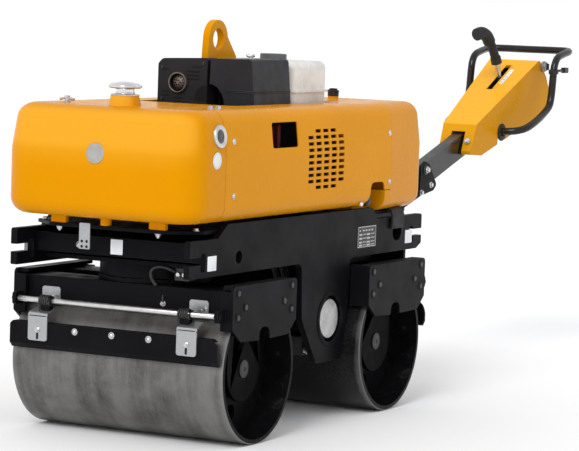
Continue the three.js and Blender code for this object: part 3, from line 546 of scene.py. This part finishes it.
def tube(bm, pts, r, seg=16, caps=True, radii=None):
    P = [Vector(p) for p in pts]
    t0 = (P[1] - P[0]).normalized()
    ref = Vector((0, 0, 1)) if abs(t0.z) < 0.9 else Vector((1, 0, 0))
    x = ref.cross(t0).normalized()
    rings = []
    for i, p in enumerate(P):
        t = (P[min(i + 1, len(P) - 1)] - P[max(i - 1, 0)]).normalized()
        x = (x - t * x.dot(t)).normalized()
        y = t.cross(x)
        rr = radii[i] if radii else r
        rings.append([bm.verts.new(p + (x * math.cos(a) + y * math.sin(a)) * rr) for a in (2 * math.pi * k / seg for k in range(seg))])
    for a, b in zip(rings, rings[1:]):
        for i in range(seg):
            j = (i + 1) % seg
            bm.faces.new((a[i], a[j], b[j], b[i]))
    if caps:
        bm.faces.new(list(reversed(rings[0])))
        bm.faces.new(rings[-1])


def weld_bead(bm, pts, r=3.2, step=3.2, seg=8):
    """A rippled fillet bead along a path."""
    P = [Vector(p) for p in pts]
    out, rad = [], []
    for a, b in zip(P, P[1:]):
        k = max(2, int((b - a).length / step))
        for i in range(k):
            out.append(a.lerp(b, i / k))
            rad.append(r * (1 + 0.16 * (-1) ** i) * random.uniform(0.93, 1.07))
    out.append(P[-1])
    rad.append(r * 0.6)
    rad[0] = r * 0.6
    tube(bm, out, r, seg, radii=rad)


def piece(name, bm, mat, body, bevel=0.0, bseg=2, smooth=32, closed=True):
    """Turns a bmesh in layout millimetres into a piece that rides a body."""
    if closed:
        bmesh.ops.recalc_face_normals(bm, faces=bm.faces)
    for v in bm.verts:
        v.co = W(*v.co)
    me = bpy.data.meshes.new(name)
    bm.to_mesh(me)
    bm.free()
    for p in me.polygons:
        p.use_smooth = True
    me.set_sharp_from_angle(angle=math.radians(smooth))
    me.materials.append(mat)
    o = bpy.data.objects.new(name, me)
    bpy.context.scene.collection.objects.link(o)
    if bevel:
        b = o.modifiers.new("edges", "BEVEL")
        b.width = bevel / 1000
        b.segments = bseg
        b.limit_method = "ANGLE"
        b.angle_limit = math.radians(32)
        s = o.modifiers.new("smooth", "NODES")
        s.node_group = SMOOTH[30]
        w = o.modifiers.new("normals", "WEIGHTED_NORMAL")
        w.keep_sharp = True
    if body:
        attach(o, body)
    return o


def B():
    return bmesh.new()


def rect(cx, cy, w, h, r=4, n=4):
    """A rectangle outline with rounded corners."""
    pts = []
    for sx, sy, a0 in ((1, 1, 0), (-1, 1, 90), (-1, -1, 180), (1, -1, 270)):
        for i in range(n + 1):
            a = math.radians(a0 + 90 * i / n)
            pts.append((cx + sx * (w / 2 - r) + r * math.cos(a), cy + sy * (h / 2 - r) + r * math.sin(a)))
    return pts


def XZ(y, s=1):
    """Plane of a side plate: local x is +X (s=1), local y is +Z, local z points outwards to s*Y."""
    return Matrix.Translation((0, y, 0)) @ Matrix(((1, 0, 0), (0, 0, s), (0, 1, 0))).to_4x4()


def YZ(x):
    """Plane facing +X: local x is +Y, local y is +Z, local z is +X."""
    return Matrix.Translation((x, 0, 0)) @ Matrix(((0, 0, 1), (1, 0, 0), (0, 1, 0))).to_4x4()


# ------------------------------------------------------------------ yokes: bolts, springs, scraper fittings
for end, e, body in (("front", 1, "front_yoke"), ("rear", -1, "frame")):
    ax = e * AX
    off = 0 if e > 0 else 32
    X = lambda d: ax + e * d  # from the axle, outwards
    S = lambda d: ax + e * (d + off)  # the same for the scraper
    spots = [(ax + q * dx - (18 if e < 0 and q < 0 else 0), z) for dx, z in ((160, 447), (116, 405), (160, 378)) for q in (1, -1)]
    bm = B()
    br = B()
    bw = B()
    for s in (1, -1):
        for x, z in spots:
            hexbolt(bm, (x, s * 365.0, z), (0, s, 0), 9.4, 3.4, 0)
            # a thin dark disc round each bolt head: painted shade of a recess
            lathe(br, basis((x, s * 365.0, z), (0, s, 0)), [(0, 0), (14.2, 0), (14.2, 0.25), (0, 0.25)], 32)
            lathe(bw, basis((x, s * 364.9, z), (0, s, 0)), [(13.2, 0), (15.2, 0), (15.2, 0.7), (14.6, 1.1), (13.2, 1.1)], 32)
    piece(f"{end}_yoke_bolts", bm, BOLT_YOKE, body)
    piece(f"{end}_yoke_bolt_recess_shade", br, DARK, body)
    piece(f"{end}_yoke_washers", bw, BLACK, body)
    # the axle's end in the support plate
    bm = B()
    for s in (1, -1):
        lathe(bm, basis((ax, s * 299.9, DRUM_R), (0, s, 0)), [(0, 0), (26, 0), (26, 3), (24, 4), (7, 4), (6, 2), (0, 2)], 36)
    piece(f"{end}_axle_ends", bm, BOLT_BLACK, body)
    # brackets on the beam over the scraper, bent out below
    FX = X(170 if e > 0 else 188)

    def facing(x):
        return YZ(x) if e > 0 else Matrix.Translation((x, 0, 0)) @ Matrix(((0, 0, -1), (1, 0, 0), (0, 1, 0))).to_4x4()

    bm = B()
    for s in (1, -1):
        prism(bm, rect(s * 246, 399.5, 62, 42, 8, 5), facing(FX + e * 0.2), 0, 4)
    piece(f"{end}_scraper_brackets", bm, ZINC, body, bevel=0.8)
    bm = B()
    for s in (1, -1):
        hexbolt(bm, (S(242), s * 247, 300), (e, 0, 0), 6.5, 5)
        for dy, z in ((6, 391), (20, 397)):
            hexbolt(bm, (FX + e * 4, s * 246 + dy, z), (e, 0, 0), 4.6, 4, 1)
    hexbolt(bm, (FX, e * 127, 400), (e, 0, 0), 6.5, 7, 1.5, stud=4)
    for y in (-124, -1, 121):
        panscrew(bm, (S(236), y, 303.5), (e, 0, 0), 7.5, 4.5)
    piece(f"{end}_scraper_bolts", bm, BOLT, body)
    bm = B()
    tube(bm, [(FX + e * 3, e * 127, 404), (FX + e * 3, e * 127, 418), (FX + e * 1, e * 127, 424)], 3, 10)
    piece(f"{end}_bleed_stub", bm, BOLT_BLACK, body)
    # the upright slots in the hanging arms, drawn as thin dark sheets: painted shade
    bm = B()
    for s in (1, -1):
        prism(bm, rect(s * 247, 282, 7, 20, 3.2), facing(S(242)), 0.05, 0.35)
    piece(f"{end}_arm_slot_shade", bm, DARK, body)
    # the hanger in finer form: bright rod with dark ends, arms bent from strip
    bm = B()
    for s in (1, -1):
        prism(bm, rect(s * 247, 305, 64.8, 74, 8, 5), facing(S(236.4)), 0, 5.5)
        path = [(241.9, 338), (241.9, 343), (240.4, 347.4), (236.5, 350.5), (200, 363), (199, 357.6), (233.5, 345.8), (236.5, 341), (236.5, 338)]
        pts = [(S(d), z) for d, z in path]
        lo = [bm.verts.new((x, s * 247 - 32.4, z)) for x, z in pts]
        hi = [bm.verts.new((x, s * 247 + 32.4, z)) for x, z in pts]
        bm.faces.new(lo)
        bm.faces.new(hi[::-1])
        for i in range(len(pts)):
            j = (i + 1) % len(pts)
            bm.faces.new((lo[i], hi[i], hi[j], lo[j]))
    arms = piece(f"{end}_scraper_arms", bm, ZINC, body, bevel=0.7)
    bm = B()
    lathe(bm, basis((S(222), -326, 384), (0, 1, 0)), [(0, 0), (7, 0), (8, 1), (8, 651), (7, 652), (0, 652)], 32)
    piece(f"{end}_scraper_rod", bm, ROD, body, smooth=50)
    bm = B()
    bs = B()
    for s in (1, -1):
        lathe(bm, basis((S(222), s * 325, 384), (0, s, 0)), [(0, 0), (5, 0), (5, 18), (4, 19), (0, 19)], 20)
        lathe(bm, basis((S(222), s * 341.4, 384), (0, s, 0)), [(0, 0), (9, 0), (9, 3), (8, 3.6), (0, 3.6)], 20)
        pts = []
        for i in range(0, 5 * 20 + 1):
            a = 2 * math.pi * i / 20
            pts.append((S(222) + 13.6 * math.cos(a) * e, s * 231 + (i / 20 - 2.5) * 6.6, 384 + 13.6 * math.sin(a)))
        tube(bs, pts, 2.9, 8)
        tube(bs, [pts[0], (S(234), s * 231 - 17.5, 368), (S(229), s * 231 - 18, 351)], 2.8, 8)
        tube(bs, [pts[-1], (S(214), s * 231 + 17.5, 374), (S(206), s * 231 + 18, 362)], 2.8, 8)
        for y in (s * 231 - 21, s * 231 + 17):
            lathe(bm, basis((S(222), y, 384), (0, 1, 0)), [(8.2, 0), (12.5, 0), (13.5, 1), (13.5, 3), (12.5, 4), (8.2, 4)], 28)
        cuboid(bm, min(S(208), S(230)), max(S(208), S(230)), s * 231 - 15, s * 231 + 15, 357, 371)
    piece(f"{end}_scraper_springs", bs, BOLT_BLACK, body, smooth=60)
    piece(f"{end}_scraper_clamps", bm, BLACK, body, bevel=0.8)
    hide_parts(f"{end}_scraper_hanger")
    # weld beads where beams meet the side plates
    bm = B()
    for q in (1, -1):
        for s in (1, -1):
            x = ax + q * (188 if e < 0 and q < 0 else 170)
            weld_bead(bm, [(x + q * 1, s * 355.6, 386), (x + q * 1, s * 355.6, 448)], 3.0)
            weld_bead(bm, [(x - q * 2, s * 355.6, 451), (x - q * 110, s * 355.6, 451)], 3.0)
    piece(f"{end}_yoke_welds", bm, BLACK, body, smooth=60)

# ------------------------------------------------------------------ frame: fixings, labels, plates
LEAN = math.radians(7)


def wall(z):
    """How far out the hood's side wall is at this height."""
    return 317 - max(0, z - 828) * math.tan(LEAN)


bm = B()
for y in (-160, 164.5):
    hexbolt(bm, (703, y, 608), (0, 0, -1), 8, 7, 2, stud=4)
for y in (-250, 250):
    hexbolt(bm, (640, y, 618), (0, 0, 1), 8, 6)
piece("deck_nuts", bm, BOLT, "frame")

bm = B()
prism(bm, rect(-68, 586, 36, 74, 3), YZ(715.4), 0, 2.4)
piece("front_strap", bm, ZINC, "frame", bevel=0.5)
# the strap's holes are thin dark discs: painted shade
bm = B()
for dy in (-8, 8):
    for dz in (0, 15):
        lathe(bm, basis((717.7, -68 + dy, 556 + dz), (1, 0, 0)), [(0, 0.05), (4.2, 0.05), (4.2, 0.4), (0, 0.4)], 18)
piece("front_strap_hole_shade", bm, DARK, "frame")
bm = B()
panscrew(bm, (646.2, -131, 553), (1, 0, 0), 6.5, 4)
panscrew(bm, (646.2, -113, 550), (1, 0, 0), 6.5, 4)
for s in (1, -1):
    for x, z in ((558, 869), (551, 715), (-444, 866), (-452, 714)):
        tilt = math.tan(LEAN) if z > 828 else 0
        panscrew(bm, (x - (8 if tilt else 0), s * (wall(z) + 0.1), z), (0, s, tilt), 7.2, 4.2)
piece("panel_screws", bm, BOLT, "frame")

bm = B()
prism(bm, rect(-4, 554.5, 40, 43, 2), YZ(646.1), 0, 0.5)
for s in (1, -1):
    prism(bm, rect(s * 624.5, 528.5, 50, 42, 2), XZ(s * 295.1, s), 0, 0.5)
    prism(bm, rect(s * -652, 528.5, 50, 42, 2), XZ(s * 295.1, s), 0, 0.5)
piece("blank_labels", bm, LABEL, "frame")

# block and hoses by the steering bearing
bm = B()
cuboid(bm, 556, 590, 156, 203, 468, 504)
piece("steering_block", bm, BOLT_BLACK, "frame", bevel=2.0)
bm = B()
lathe(bm, basis((590, 170, 486), (1, 0, 0)), [(0, 0), (8, 0), (8, 6), (6, 8), (0, 8)], 6)
lathe(bm, basis((590, 190, 486), (1, 0, 0)), [(0, 0), (8, 0), (8, 6), (6, 8), (0, 8)], 6)
piece("steering_block_plugs", bm, BOLT, "frame")

bm = B()
tube(bm, catmull([(600, 103, 450.4), (601, 97, 457), (603, 89, 470), (605, 87, 484), (606, 93, 496), (607, 105, 503), (606, 121, 505.5), (603, 137, 503), (598, 150, 497.5), (591, 157, 493)], 8), 5.4, 16)
hose = piece("steering_hose_look", bm, HOSE, None, smooth=60)
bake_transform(hose)
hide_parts("steering_hose")

# a plain round badge with nothing on it, on the tank's front
bm = B()
lathe(bm, basis((783.6, 0.8, 826), (1, 0, 0.07)), [(0, 0), (29, 0), (29, 1.6), (28, 2.4), (0, 2.4)], 56)
piece("blank_badge", bm, BADGE, "frame")
# round blank label and gauge on the near side of the tank
bm = B()
lathe(bm, basis((652, 317.1, 818.5), (0, 1, 0)), [(0, 0), (23.5, 0), (23.5, 0.6), (0, 0.6)], 48)
piece("round_label", bm, LABEL, "frame")
bm = B()
lathe(bm, basis((652, 317.7, 818.5), (0, 1, 0)), [(19.4, 0), (20.6, 0), (20.6, 0.15), (19.4, 0.15)], 48)
piece("round_label_ring", bm, LABEL_LINE, "frame")
GX, GZ = 634, 885
gauge = basis((GX, wall(GZ), GZ), (0, math.cos(LEAN), math.sin(LEAN)))
bm = B()
lathe(bm, gauge, [(20, -1), (33, -1), (33, 5), (31.5, 8.5), (28, 10), (25, 9), (22.5, 6.5), (20, 6)], 56)
piece("gauge_ring", bm, ROD, "frame", smooth=50)
bm = B()
lathe(bm, gauge, [(0, 0), (21.5, 0), (21.5, 5), (16, 6.4), (8, 7.2), (0, 7.5)], 48)
piece("gauge_face", bm, LENS, "frame", smooth=50)
bm = B()
for k in range(7):
    for j in range(7):
        u, v = (k - 3) * 4.6 + (j % 2) * 2.3, (j - 3) * 4.0
        if math.hypot(u, v) < 14.5:
            lathe(bm, gauge @ Matrix.Translation((u, v, 6.4)), [(0, 0), (1.35, 0), (1.35, 1.0), (0, 1.0)], 8)
piece("gauge_mesh", bm, BOLT_BLACK, "frame")

# data plate: blank, with a border and ruled fields
bm = B()
prism(bm, rect(-350, 546, 128, 66, 2), XZ(295.1, 1), 0, 0.9)
piece("data_plate", bm, PLATE, "frame")
bm = B()


def line(bm, x0, x1, z0, z1, y, s=1):
    a, b = (x0 + x1) / 2, (z0 + z1) / 2
    prism(bm, rect(a, b, abs(x1 - x0), abs(z1 - z0), 0.3, 1), XZ(y, s), 0, 0.25)


for z in (515, 577):
    line(bm, -412, -288, z - 1, z + 1, 296.0)
for x in (-411, -289):
    line(bm, x - 1, x + 1, 515, 577, 296.0)
for k, z in enumerate((566, 554, 542, 530, 521)):
    if k == 0:
        for x0, x1 in ((-392, -380), (-372, -360), (-352, -340), (-332, -320), (-306, -298)):
            line(bm, x0, x1, z - 2.2, z + 2.2, 296.0)
    else:
        line(bm, -404, -376, z - 1.1, z + 1.1, 296.0)
        line(bm, -346, -322, z - 1.1, z + 1.1, 296.0)
        line(bm, -371, -350, z - 3.2, z + 2.0, 296.0)
        line(bm, -317, -297, z - 3.2, z + 2.0, 296.0)
piece("data_plate_lines", bm, PLATE_LINE, "frame")

# exciter cover: flange ring round the bore and a screw on the cover
for s, side in ((1, "left"), (-1, "right")):
    bm = B()
    lathe(bm, basis((-118, s * 295, 310), (0, s, 0)), [(70.3, -3), (84, -3), (84, 1.5), (82.5, 2.5), (72, 2.5), (70.3, 1)], 72)
    piece(f"exciter_ring_{side}", bm, BLACK, "frame", smooth=40)
    bm = B()
    lathe(bm, basis((-118, s * 292.2, 310), (0, s, 0)), [(0, 0), (3.2, 0), (3.2, 0.6), (1.2, 0.7), (1.2, 0.2), (0, 0.2)], 20)
    piece(f"exciter_screws_{side}", bm, BOLT, "frame")

# rubber hold-downs over the oblong holes
for s, side in ((1, "left"), (-1, "right")):
    bm = B()
    prof = [(295.4, 562), (299, 559), (304, 565), (305.5, 583), (305, 604), (300, 619), (290, 627), (276, 630),
            (276, 623), (287, 620), (294, 614), (298, 602), (298.5, 585), (296, 572)]
    lo = [bm.verts.new((-597, s * y, z)) for y, z in prof]
    hi = [bm.verts.new((-513, s * y, z)) for y, z in prof]
    bm.faces.new(lo)
    bm.faces.new(list(reversed(hi)))
    for i in range(len(prof)):
        j = (i + 1) % len(prof)
        bm.faces.new((lo[i], hi[i], hi[j], lo[j]))
    piece(f"hold_down_{side}", bm, RUBBER, "frame", bevel=1.5, bseg=3)

# drain valve in the recess, with its white cap
for s, side in ((1, "left"), (-1, "right")):
    bm = B()
    lathe(bm, basis((-333, s * 268, 660), (0, s, 0)), [(0, 0), (9, 0), (9, 14), (17, 17), (19, 22), (19, 34), (15, 39), (0, 41)], 24,
          lobes=lambda r, a: r * (1 + 0.10 * math.cos(6 * a)) if r > 16 else r)
    piece(f"drain_knob_{side}", bm, PLASTIC_DARK, "frame", smooth=40)
    bm = B()
    lathe(bm, basis((-271, s * 309, 652), (0, s, -0.3)), [(0, 0), (6, 0), (6, 5), (4.5, 7), (0, 7.6)], 20)
    piece(f"drain_cap_{side}", bm, LABEL, "frame")

# ------------------------------------------------------------------ hood: dark panels behind the openings, painted shade
for s, side in ((1, "left"), (-1, "right")):
    bm = B()
    cuboid(bm, -150, 120, min(s * 282, s * 286), max(s * 282, s * 286), 690, 905)
    piece(f"vent_shade_panel_{side}", bm, DARK, "frame")
# a dark block behind the window: painted shade of the engine bay
bm = B()
cuboid(bm, 140, 340, 226, 230, 822, 930)
piece("window_back_shade", bm, DARK, "frame")
bm = B()
lathe(bm, basis((235, 231, 872), (0, 1, 0)), [(0, 0), (26, 0), (26, 20), (22, 26), (0, 28)], 32)
cuboid(bm, 172, 300, 231, 252, 836, 898)
cuboid(bm, 186, 204, 250, 266, 838, 905)
piece("window_filter", bm, RED, "frame", bevel=1.5)

bm = B()
for s in (1, -1):
    for x, y in ((558.4, 237.3), (531.9, 247.6)):
        hexbolt(bm, (x, s * y, 957), (0, 0, 1), 7.5, 7)
piece("hood_top_bolts", bm, BOLT, "frame")

bm = B()
lathe(bm, basis((650, -181, 956.5), (0, 0, 1)), [(0, 0), (10, 0), (10, 5), (6, 7), (6, 13), (8, 14), (8, 20), (0, 21)], 20)
tube(bm, [(650, -205, 966), (650, -190, 969), (650, -172, 969), (650, -157, 966)], 4, 10)
piece("tank_fitting", bm, BOLT, "frame", smooth=40)

# ------------------------------------------------------------------ caps
cap_lo, cap_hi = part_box("water_cap")
cx, cy = ((cap_lo.x + cap_hi.x) / 2 - SHIFT) * 1000, (cap_lo.y + cap_hi.y) / 2 * 1000
bm = B()
M = basis((cx, cy, 0), (0, 0, 1))
flute = lambda r, a: r * (1 - 0.045 * (0.5 + 0.5 * math.cos(8 * a)) ** 2) if r > 38 else r
lathe(bm, M, [(0, 987.4), (27, 987.4), (28, 988.5), (28, 995), (26, 996), (26, 1004), (30, 1006), (42, 1006.5), (47, 1009), (47.8, 1012),
              (46, 1016), (39, 1020.5), (28, 1023.5), (14, 1025.5), (0, 1026.5)], 96, lobes=flute)
cap = piece("water_cap_chrome", bm, CHROME, "frame", smooth=50)
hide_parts("water_cap")
bm = B()
lathe(bm, M, [(28.4, 986.6), (41, 986.6), (41, 989.5), (39.5, 990.5), (28.4, 990.5)], 48)
piece("filler_seal", bm, BOLT, "frame")

bm = B()
lathe(bm, basis((-598, 35, 0), (0, 0, 1)), [(0, 984), (12, 984), (13, 986), (13, 990), (0, 991)], 24)
for q in (1, -1):
    M2 = basis((-598 + q * 4, 35 + q * 9, 981), (0.45 * q, 0.89 * q, 0))
    lathe(bm, M2, [(0, 0), (4.5, 0), (5, 4), (5, 14), (3.5, 17), (0, 18)], 14)
piece("rear_cap_wings", bm, PLASTIC_DARK, "frame", smooth=40)

# ------------------------------------------------------------------ muffler and its guard
# the guard's slots and its cut-out are thin dark sheets on its faces: painted shade
bm = B()
Mx = YZ(170)
for y, z, w in ((-44, 1046, 44), (-44, 1035, 40), (-44, 1024, 44), (-30, 1061, 34)):
    prism(bm, rect(y, z, w, 4.6, 2.0, 3), Mx, 0.05, 0.5)
for y, z, w in ((-139, 1050, 22), (-139, 973, 30), (-94, 966, 30), (-139, 984, 26), (-94, 955, 34)):
    prism(bm, rect(y, z, w, 4.2, 1.8, 3), Mx, 0.05, 0.5)
cuboid(bm, 88, 99, 3.4, 11.6, 946, 1084)
cuboid(bm, 60, 84, -30, 9, 946, 1010)
# the arch where the guard is cut out over the pipe behind it, drawn as a dark sheet: painted shade
arch = [(4, 960)] + [(4 - 42 * math.sin(a), 966 + 42 * math.cos(a)) for a in [math.radians(k * 10) for k in range(0, 10)]] + [(-38, 960)]
prism(bm, [(y, z) for y, z in arch][::-1], Mx, 0.06, 0.4)
side = Matrix.Translation((0, -166, 0)) @ Matrix(((1, 0, 0), (0, 0, -1), (0, 1, 0))).to_4x4()
for x in (118, 130, 142, 154):
    prism(bm, rect(x, 1020, 5, 60, 2.2, 3), side, 0.05, 0.5)
piece("guard_slot_shade", bm, DARK, "frame")
bm = B()
lathe(bm, basis((150, -95, 1012), (1, 0, 0)), [(0, 0), (25.6, 0), (25.6, 6), (24, 13), (18, 19), (9, 22.5), (0, 24)], 40)
lathe(bm, basis((168, -95, 1012), (1, 0, 0)), [(26.3, 0), (31.6, 0), (31.6, 8), (30.5, 10), (28, 10.6), (26.3, 9.4)], 48)
piece("muffler_outlet", bm, HEAT, "frame", smooth=50)
# holes in the outlet cap are thin dark discs: painted shade
bm = B()
for ring, count in ((8, 6), (16, 12)):
    for k in range(count):
        a = 2 * math.pi * k / count
        h = {8: 173.0, 16: 169.6}[ring]
        lathe(bm, basis((h, -95 + ring * math.cos(a), 1012 + ring * math.sin(a)), (1, 0, 0)), [(0, 0), (2.2, 0), (2.2, 1.4), (0, 1.4)], 10)
piece("outlet_hole_shade", bm, DARK, "frame")
bm = B()
for y, z in ((-150, 1056), (-150, 962), (-8, 1072)):
    hexbolt(bm, (170, y, z), (1, 0, 0), 5, 4, 1)
piece("guard_bolts", bm, BOLT_BLACK, "frame")

# ------------------------------------------------------------------ air cleaner: lid seam, knob
bm = B()
tube(bm, [(170.4, 66, 991), (170.4, 158, 991), (169, 161, 991), (166, 162, 991), (-60, 162, 991)], 1.6, 8)
tube(bm, [(170.4, 62, 996), (170.4, 158, 996), (169, 160.8, 996), (166, 161.6, 996), (-60, 161.6, 996)], 1.6, 8)
piece("air_box_seam", bm, PLASTIC_DARK, "frame")
bm = B()
lathe(bm, basis((52, 84, 1088), (0, 0, 1)), [(0, 0), (12, 0), (12, 2), (6, 3), (6, 9), (0, 10)], 24)
for q in (1, -1):
    lathe(bm, basis((52, 84 + q * 3, 1095), (0, q, 0.6)), [(0, 0), (3.5, 0), (5, 6), (4.5, 11), (0, 13)], 14)
piece("air_box_wing_nut", bm, BOLT, "frame", smooth=50)

# ------------------------------------------------------------------ fuel tank: neck ring, cap ribs
bm = B()
lathe(bm, basis((-170, 42, 1083.6), (0, 0, 1)), [(0, 0), (46, 0), (46, 1.6), (43, 2.4), (0, 2.4)], 48)
piece("fuel_neck", bm, BOLT, "frame")
bm = B()
for k in range(16):
    a = 2 * math.pi * k / 16
    cuboid(bm, -2.2, 2.2, -0.8, 1.0, 0, 14, Matrix.Translation((-170 + 40 * math.cos(a), 42 + 40 * math.sin(a), 1087)) @ Matrix.Rotation(a - math.pi / 2, 4, "Z"))
piece("fuel_cap_ribs", bm, GREY_CAP, "frame")

# ------------------------------------------------------------------ control box and handle
bm = B()
hexbolt(bm, (-1640, 44, 790), (0.9, 0, 0.42), 8, 6)
piece("box_bolt", bm, BOLT, "drawbar")
TOP = Vector((-(2140 - 1673), 0, 1077 - 850)).normalized()  # up the box's lid, towards the handle
LID_N = Vector((227, 0, 467)).normalized()


def lid(s, y, h=0.0):
    """A point on the lid, s mm up it from its front edge."""
    return Vector((-1673, y, 850)) + TOP * s + LID_N * h


bm = B()
M = Matrix.Translation(lid(372, 0, 0.1)) @ Matrix((TOP, Vector((0, 1, 0)), LID_N)).transposed().to_4x4()
prism(bm, rect(0, 26, 116, 15, 3), M, 0, 0.6)
piece("lid_labels", bm, LABEL, "drawbar")
bm = B()
for k in range(-2, 3):
    prism(bm, rect(k * 22, 26, 6, 9, 1), M, 0.6, 0.8)
piece("lid_label_marks", bm, LABEL_LINE, "drawbar")
bm = B()
for q in (1, -1):
    prism(bm, rect(-6, q * 14.6, 186, 8, 2), M, -1, 1.2)
piece("slot_lips", bm, YELLOW_BOX, "drawbar", bevel=0.6)
# a dark sheet under the lever's slot: painted shade
bm = B()
prism(bm, rect(0, 0, 240, 100, 4), M, -30, -26)
piece("lever_slot_shade", bm, DARK, "drawbar")
bm = B()
tube(bm, [(-2003, 0, 1010), (-1990, -1.5, 1038), (-1978, -3, 1064)], 5, 20, radii=[5.8, 9.6, 13.6])
piece("lever_sleeve", bm, ROD, "drawbar", smooth=50)
# the switch on the box's side and the throttle lever on the side tube
bm = B()
lathe(bm, basis((-2166, 100, 1052), (0, 1, 0)), [(0, 0), (19, 0), (20, 2), (20, 9), (17, 11), (17, 16), (14, 18), (0, 18.5)], 36)
piece("switch_body", bm, ALLOY, "drawbar", smooth=50)
bm = B()
cuboid(bm, -2170, -2162, 117, 126, 1040, 1064)
lathe(bm, basis((-2118, 165, 1028), (0.16, 0, 0.98)), [(13.8, 0), (18, 0), (18, 15), (13.8, 15)], 28)
tube(bm, [(-2132, 167, 1037), (-2160, 170, 1040), (-2198, 171, 1041)], 5, 12)
cuboid(bm, -2228, -2192, 163, 179, 1031, 1051)
piece("throttle_lever", bm, PLASTIC_DARK, "drawbar", bevel=1.5)
# grommets where the hand bar enters the box
bm = B()
for s in (1, -1):
    lathe(bm, basis((-1861, s * 74, 816.5), (0, s, 0)), [(14.4, 0), (29, 0), (31, 3), (31, 8), (29, 10), (14.4, 10)], 36)
piece("box_grommets", bm, RUBBER, "drawbar", smooth=50)
# boot at the foot of the lever
bm = B()
lathe(bm, basis((-2013, 0, 996), (0.36, 0, 0.9)), [(0, 0), (13, 0), (14, 3), (11, 6), (12, 9), (9, 12), (9.5, 15), (6.5, 18), (0, 19)], 28)
piece("lever_boot", bm, RUBBER, "drawbar", smooth=50)
bm = B()
for x, z in ((-1334, 699),):
    for s in (1, -1):
        hexbolt(bm, (x, s * 36, z), (0, s, 0), 9, 7)
for x, z in ((-1376, 645), (-1301, 621)):
    for s in (1, -1):
        hexbolt(bm, (x, s * 31, z), (0, s, 0), 8, 7)
piece("joint_bolts", bm, BOLT, "frame")
bm = B()
for s in (1, -1):
    lathe(bm, basis((-1330, s * 31.2, 698), (0, s, 0)), [(8.5, 0), (17, 0), (17, 2), (15.5, 3), (8.5, 3)], 28)
piece("pivot_washers", bm, BOLT_BLACK, "frame")
# fittings of the vibration drive, between the drums and under the plates' lower ends
bm = B()
cuboid(bm, -176, -62, 150, 232, 196, 252)
piece("hydraulic_block", bm, IRON, "frame", bevel=4.0)
bm = B()
for k, (x, z) in enumerate(((-74, 214), (-92, 206), (-112, 212), (-132, 203), (-152, 210), (-168, 202))):
    lathe(bm, basis((x, 230, z), (0.25 * (-1) ** k, 1, -0.1)), [(0, 0), (9, 0), (9, 8), (6.5, 9), (6.5, 17), (8, 18), (8, 25), (5, 27), (0, 27)], 6)
piece("hydraulic_fittings", bm, BOLT, "frame")
bm = B()
for k, (x, y) in enumerate(((-150, 176), (-118, 186), (-86, 176))):
    tube(bm, catmull([(x, y, 250), (x, y - 8, 300), (x + 10, y - 30, 380), (x + 30, y - 50, 470)], 8), 8, 14)
piece("hydraulic_hoses", bm, HOSE, "frame", smooth=60)

# ------------------------------------------------------------------ floor, light
bm = bmesh.new()
bmesh.ops.create_circle(bm, cap_ends=True, segments=96, radius=3000)
me = bpy.data.meshes.new("floor")
bm.to_mesh(me)
bm.free()
floor = bpy.data.objects.new("floor", me)
floor.location = (0, 0, -0.0006)
bpy.context.scene.collection.objects.link(floor)
fm = Mat("floor_pale")
fc = fm.mix(fm.span(fm.noise(0.8, 3), 0.3, 0.7), (0.955, 0.955, 0.955), (0.965, 0.965, 0.965))
fm.set(color=fc, rough=0.9, spec=0.1)
me.materials.append(fm.m)

world = bpy.data.worlds.new("studio")
bpy.context.scene.world = world
world.use_nodes = True
wn, wl = world.node_tree.nodes, world.node_tree.links
bg = wn["Background"]
tc = wn.new("ShaderNodeTexCoord")
sx = wn.new("ShaderNodeSeparateXYZ")
wl.new(tc.outputs["Generated"], sx.inputs[0])
cr = wn.new("ShaderNodeValToRGB")
wl.new(sx.outputs["Z"], cr.inputs["Fac"])
els = cr.color_ramp.elements
els[0].position, els[0].color = 0.0, (1.0, 1.0, 1.0, 1)
els[1].position, els[1].color = 1.0, (0.80, 0.81, 0.83, 1)
e1 = cr.color_ramp.elements.new(0.25)
e1.color = (0.90, 0.905, 0.915, 1)
wl.new(cr.outputs["Color"], bg.inputs["Color"])
bg.inputs["Strength"].default_value = 1.0


def area(name, loc, target, size, power, size_y=None):
    d = bpy.data.lights.new(name, "AREA")
    d.shape = "RECTANGLE"
    d.size = size
    d.size_y = size_y or size
    d.energy = power
    o = bpy.data.objects.new(name, d)
    o.location = loc
    o.rotation_euler = (Vector(target) - Vector(loc)).to_track_quat("-Z", "Y").to_euler()
    bpy.context.scene.collection.objects.link(o)
    return o


sun = bpy.data.lights.new("sun", "SUN")
sun.energy = 1.3
sun.angle = math.radians(24)
so = bpy.data.objects.new("sun", sun)
so.rotation_euler = Vector((-0.75, -0.1, -0.65)).to_track_quat("-Z", "Y").to_euler()
bpy.context.scene.collection.objects.link(so)
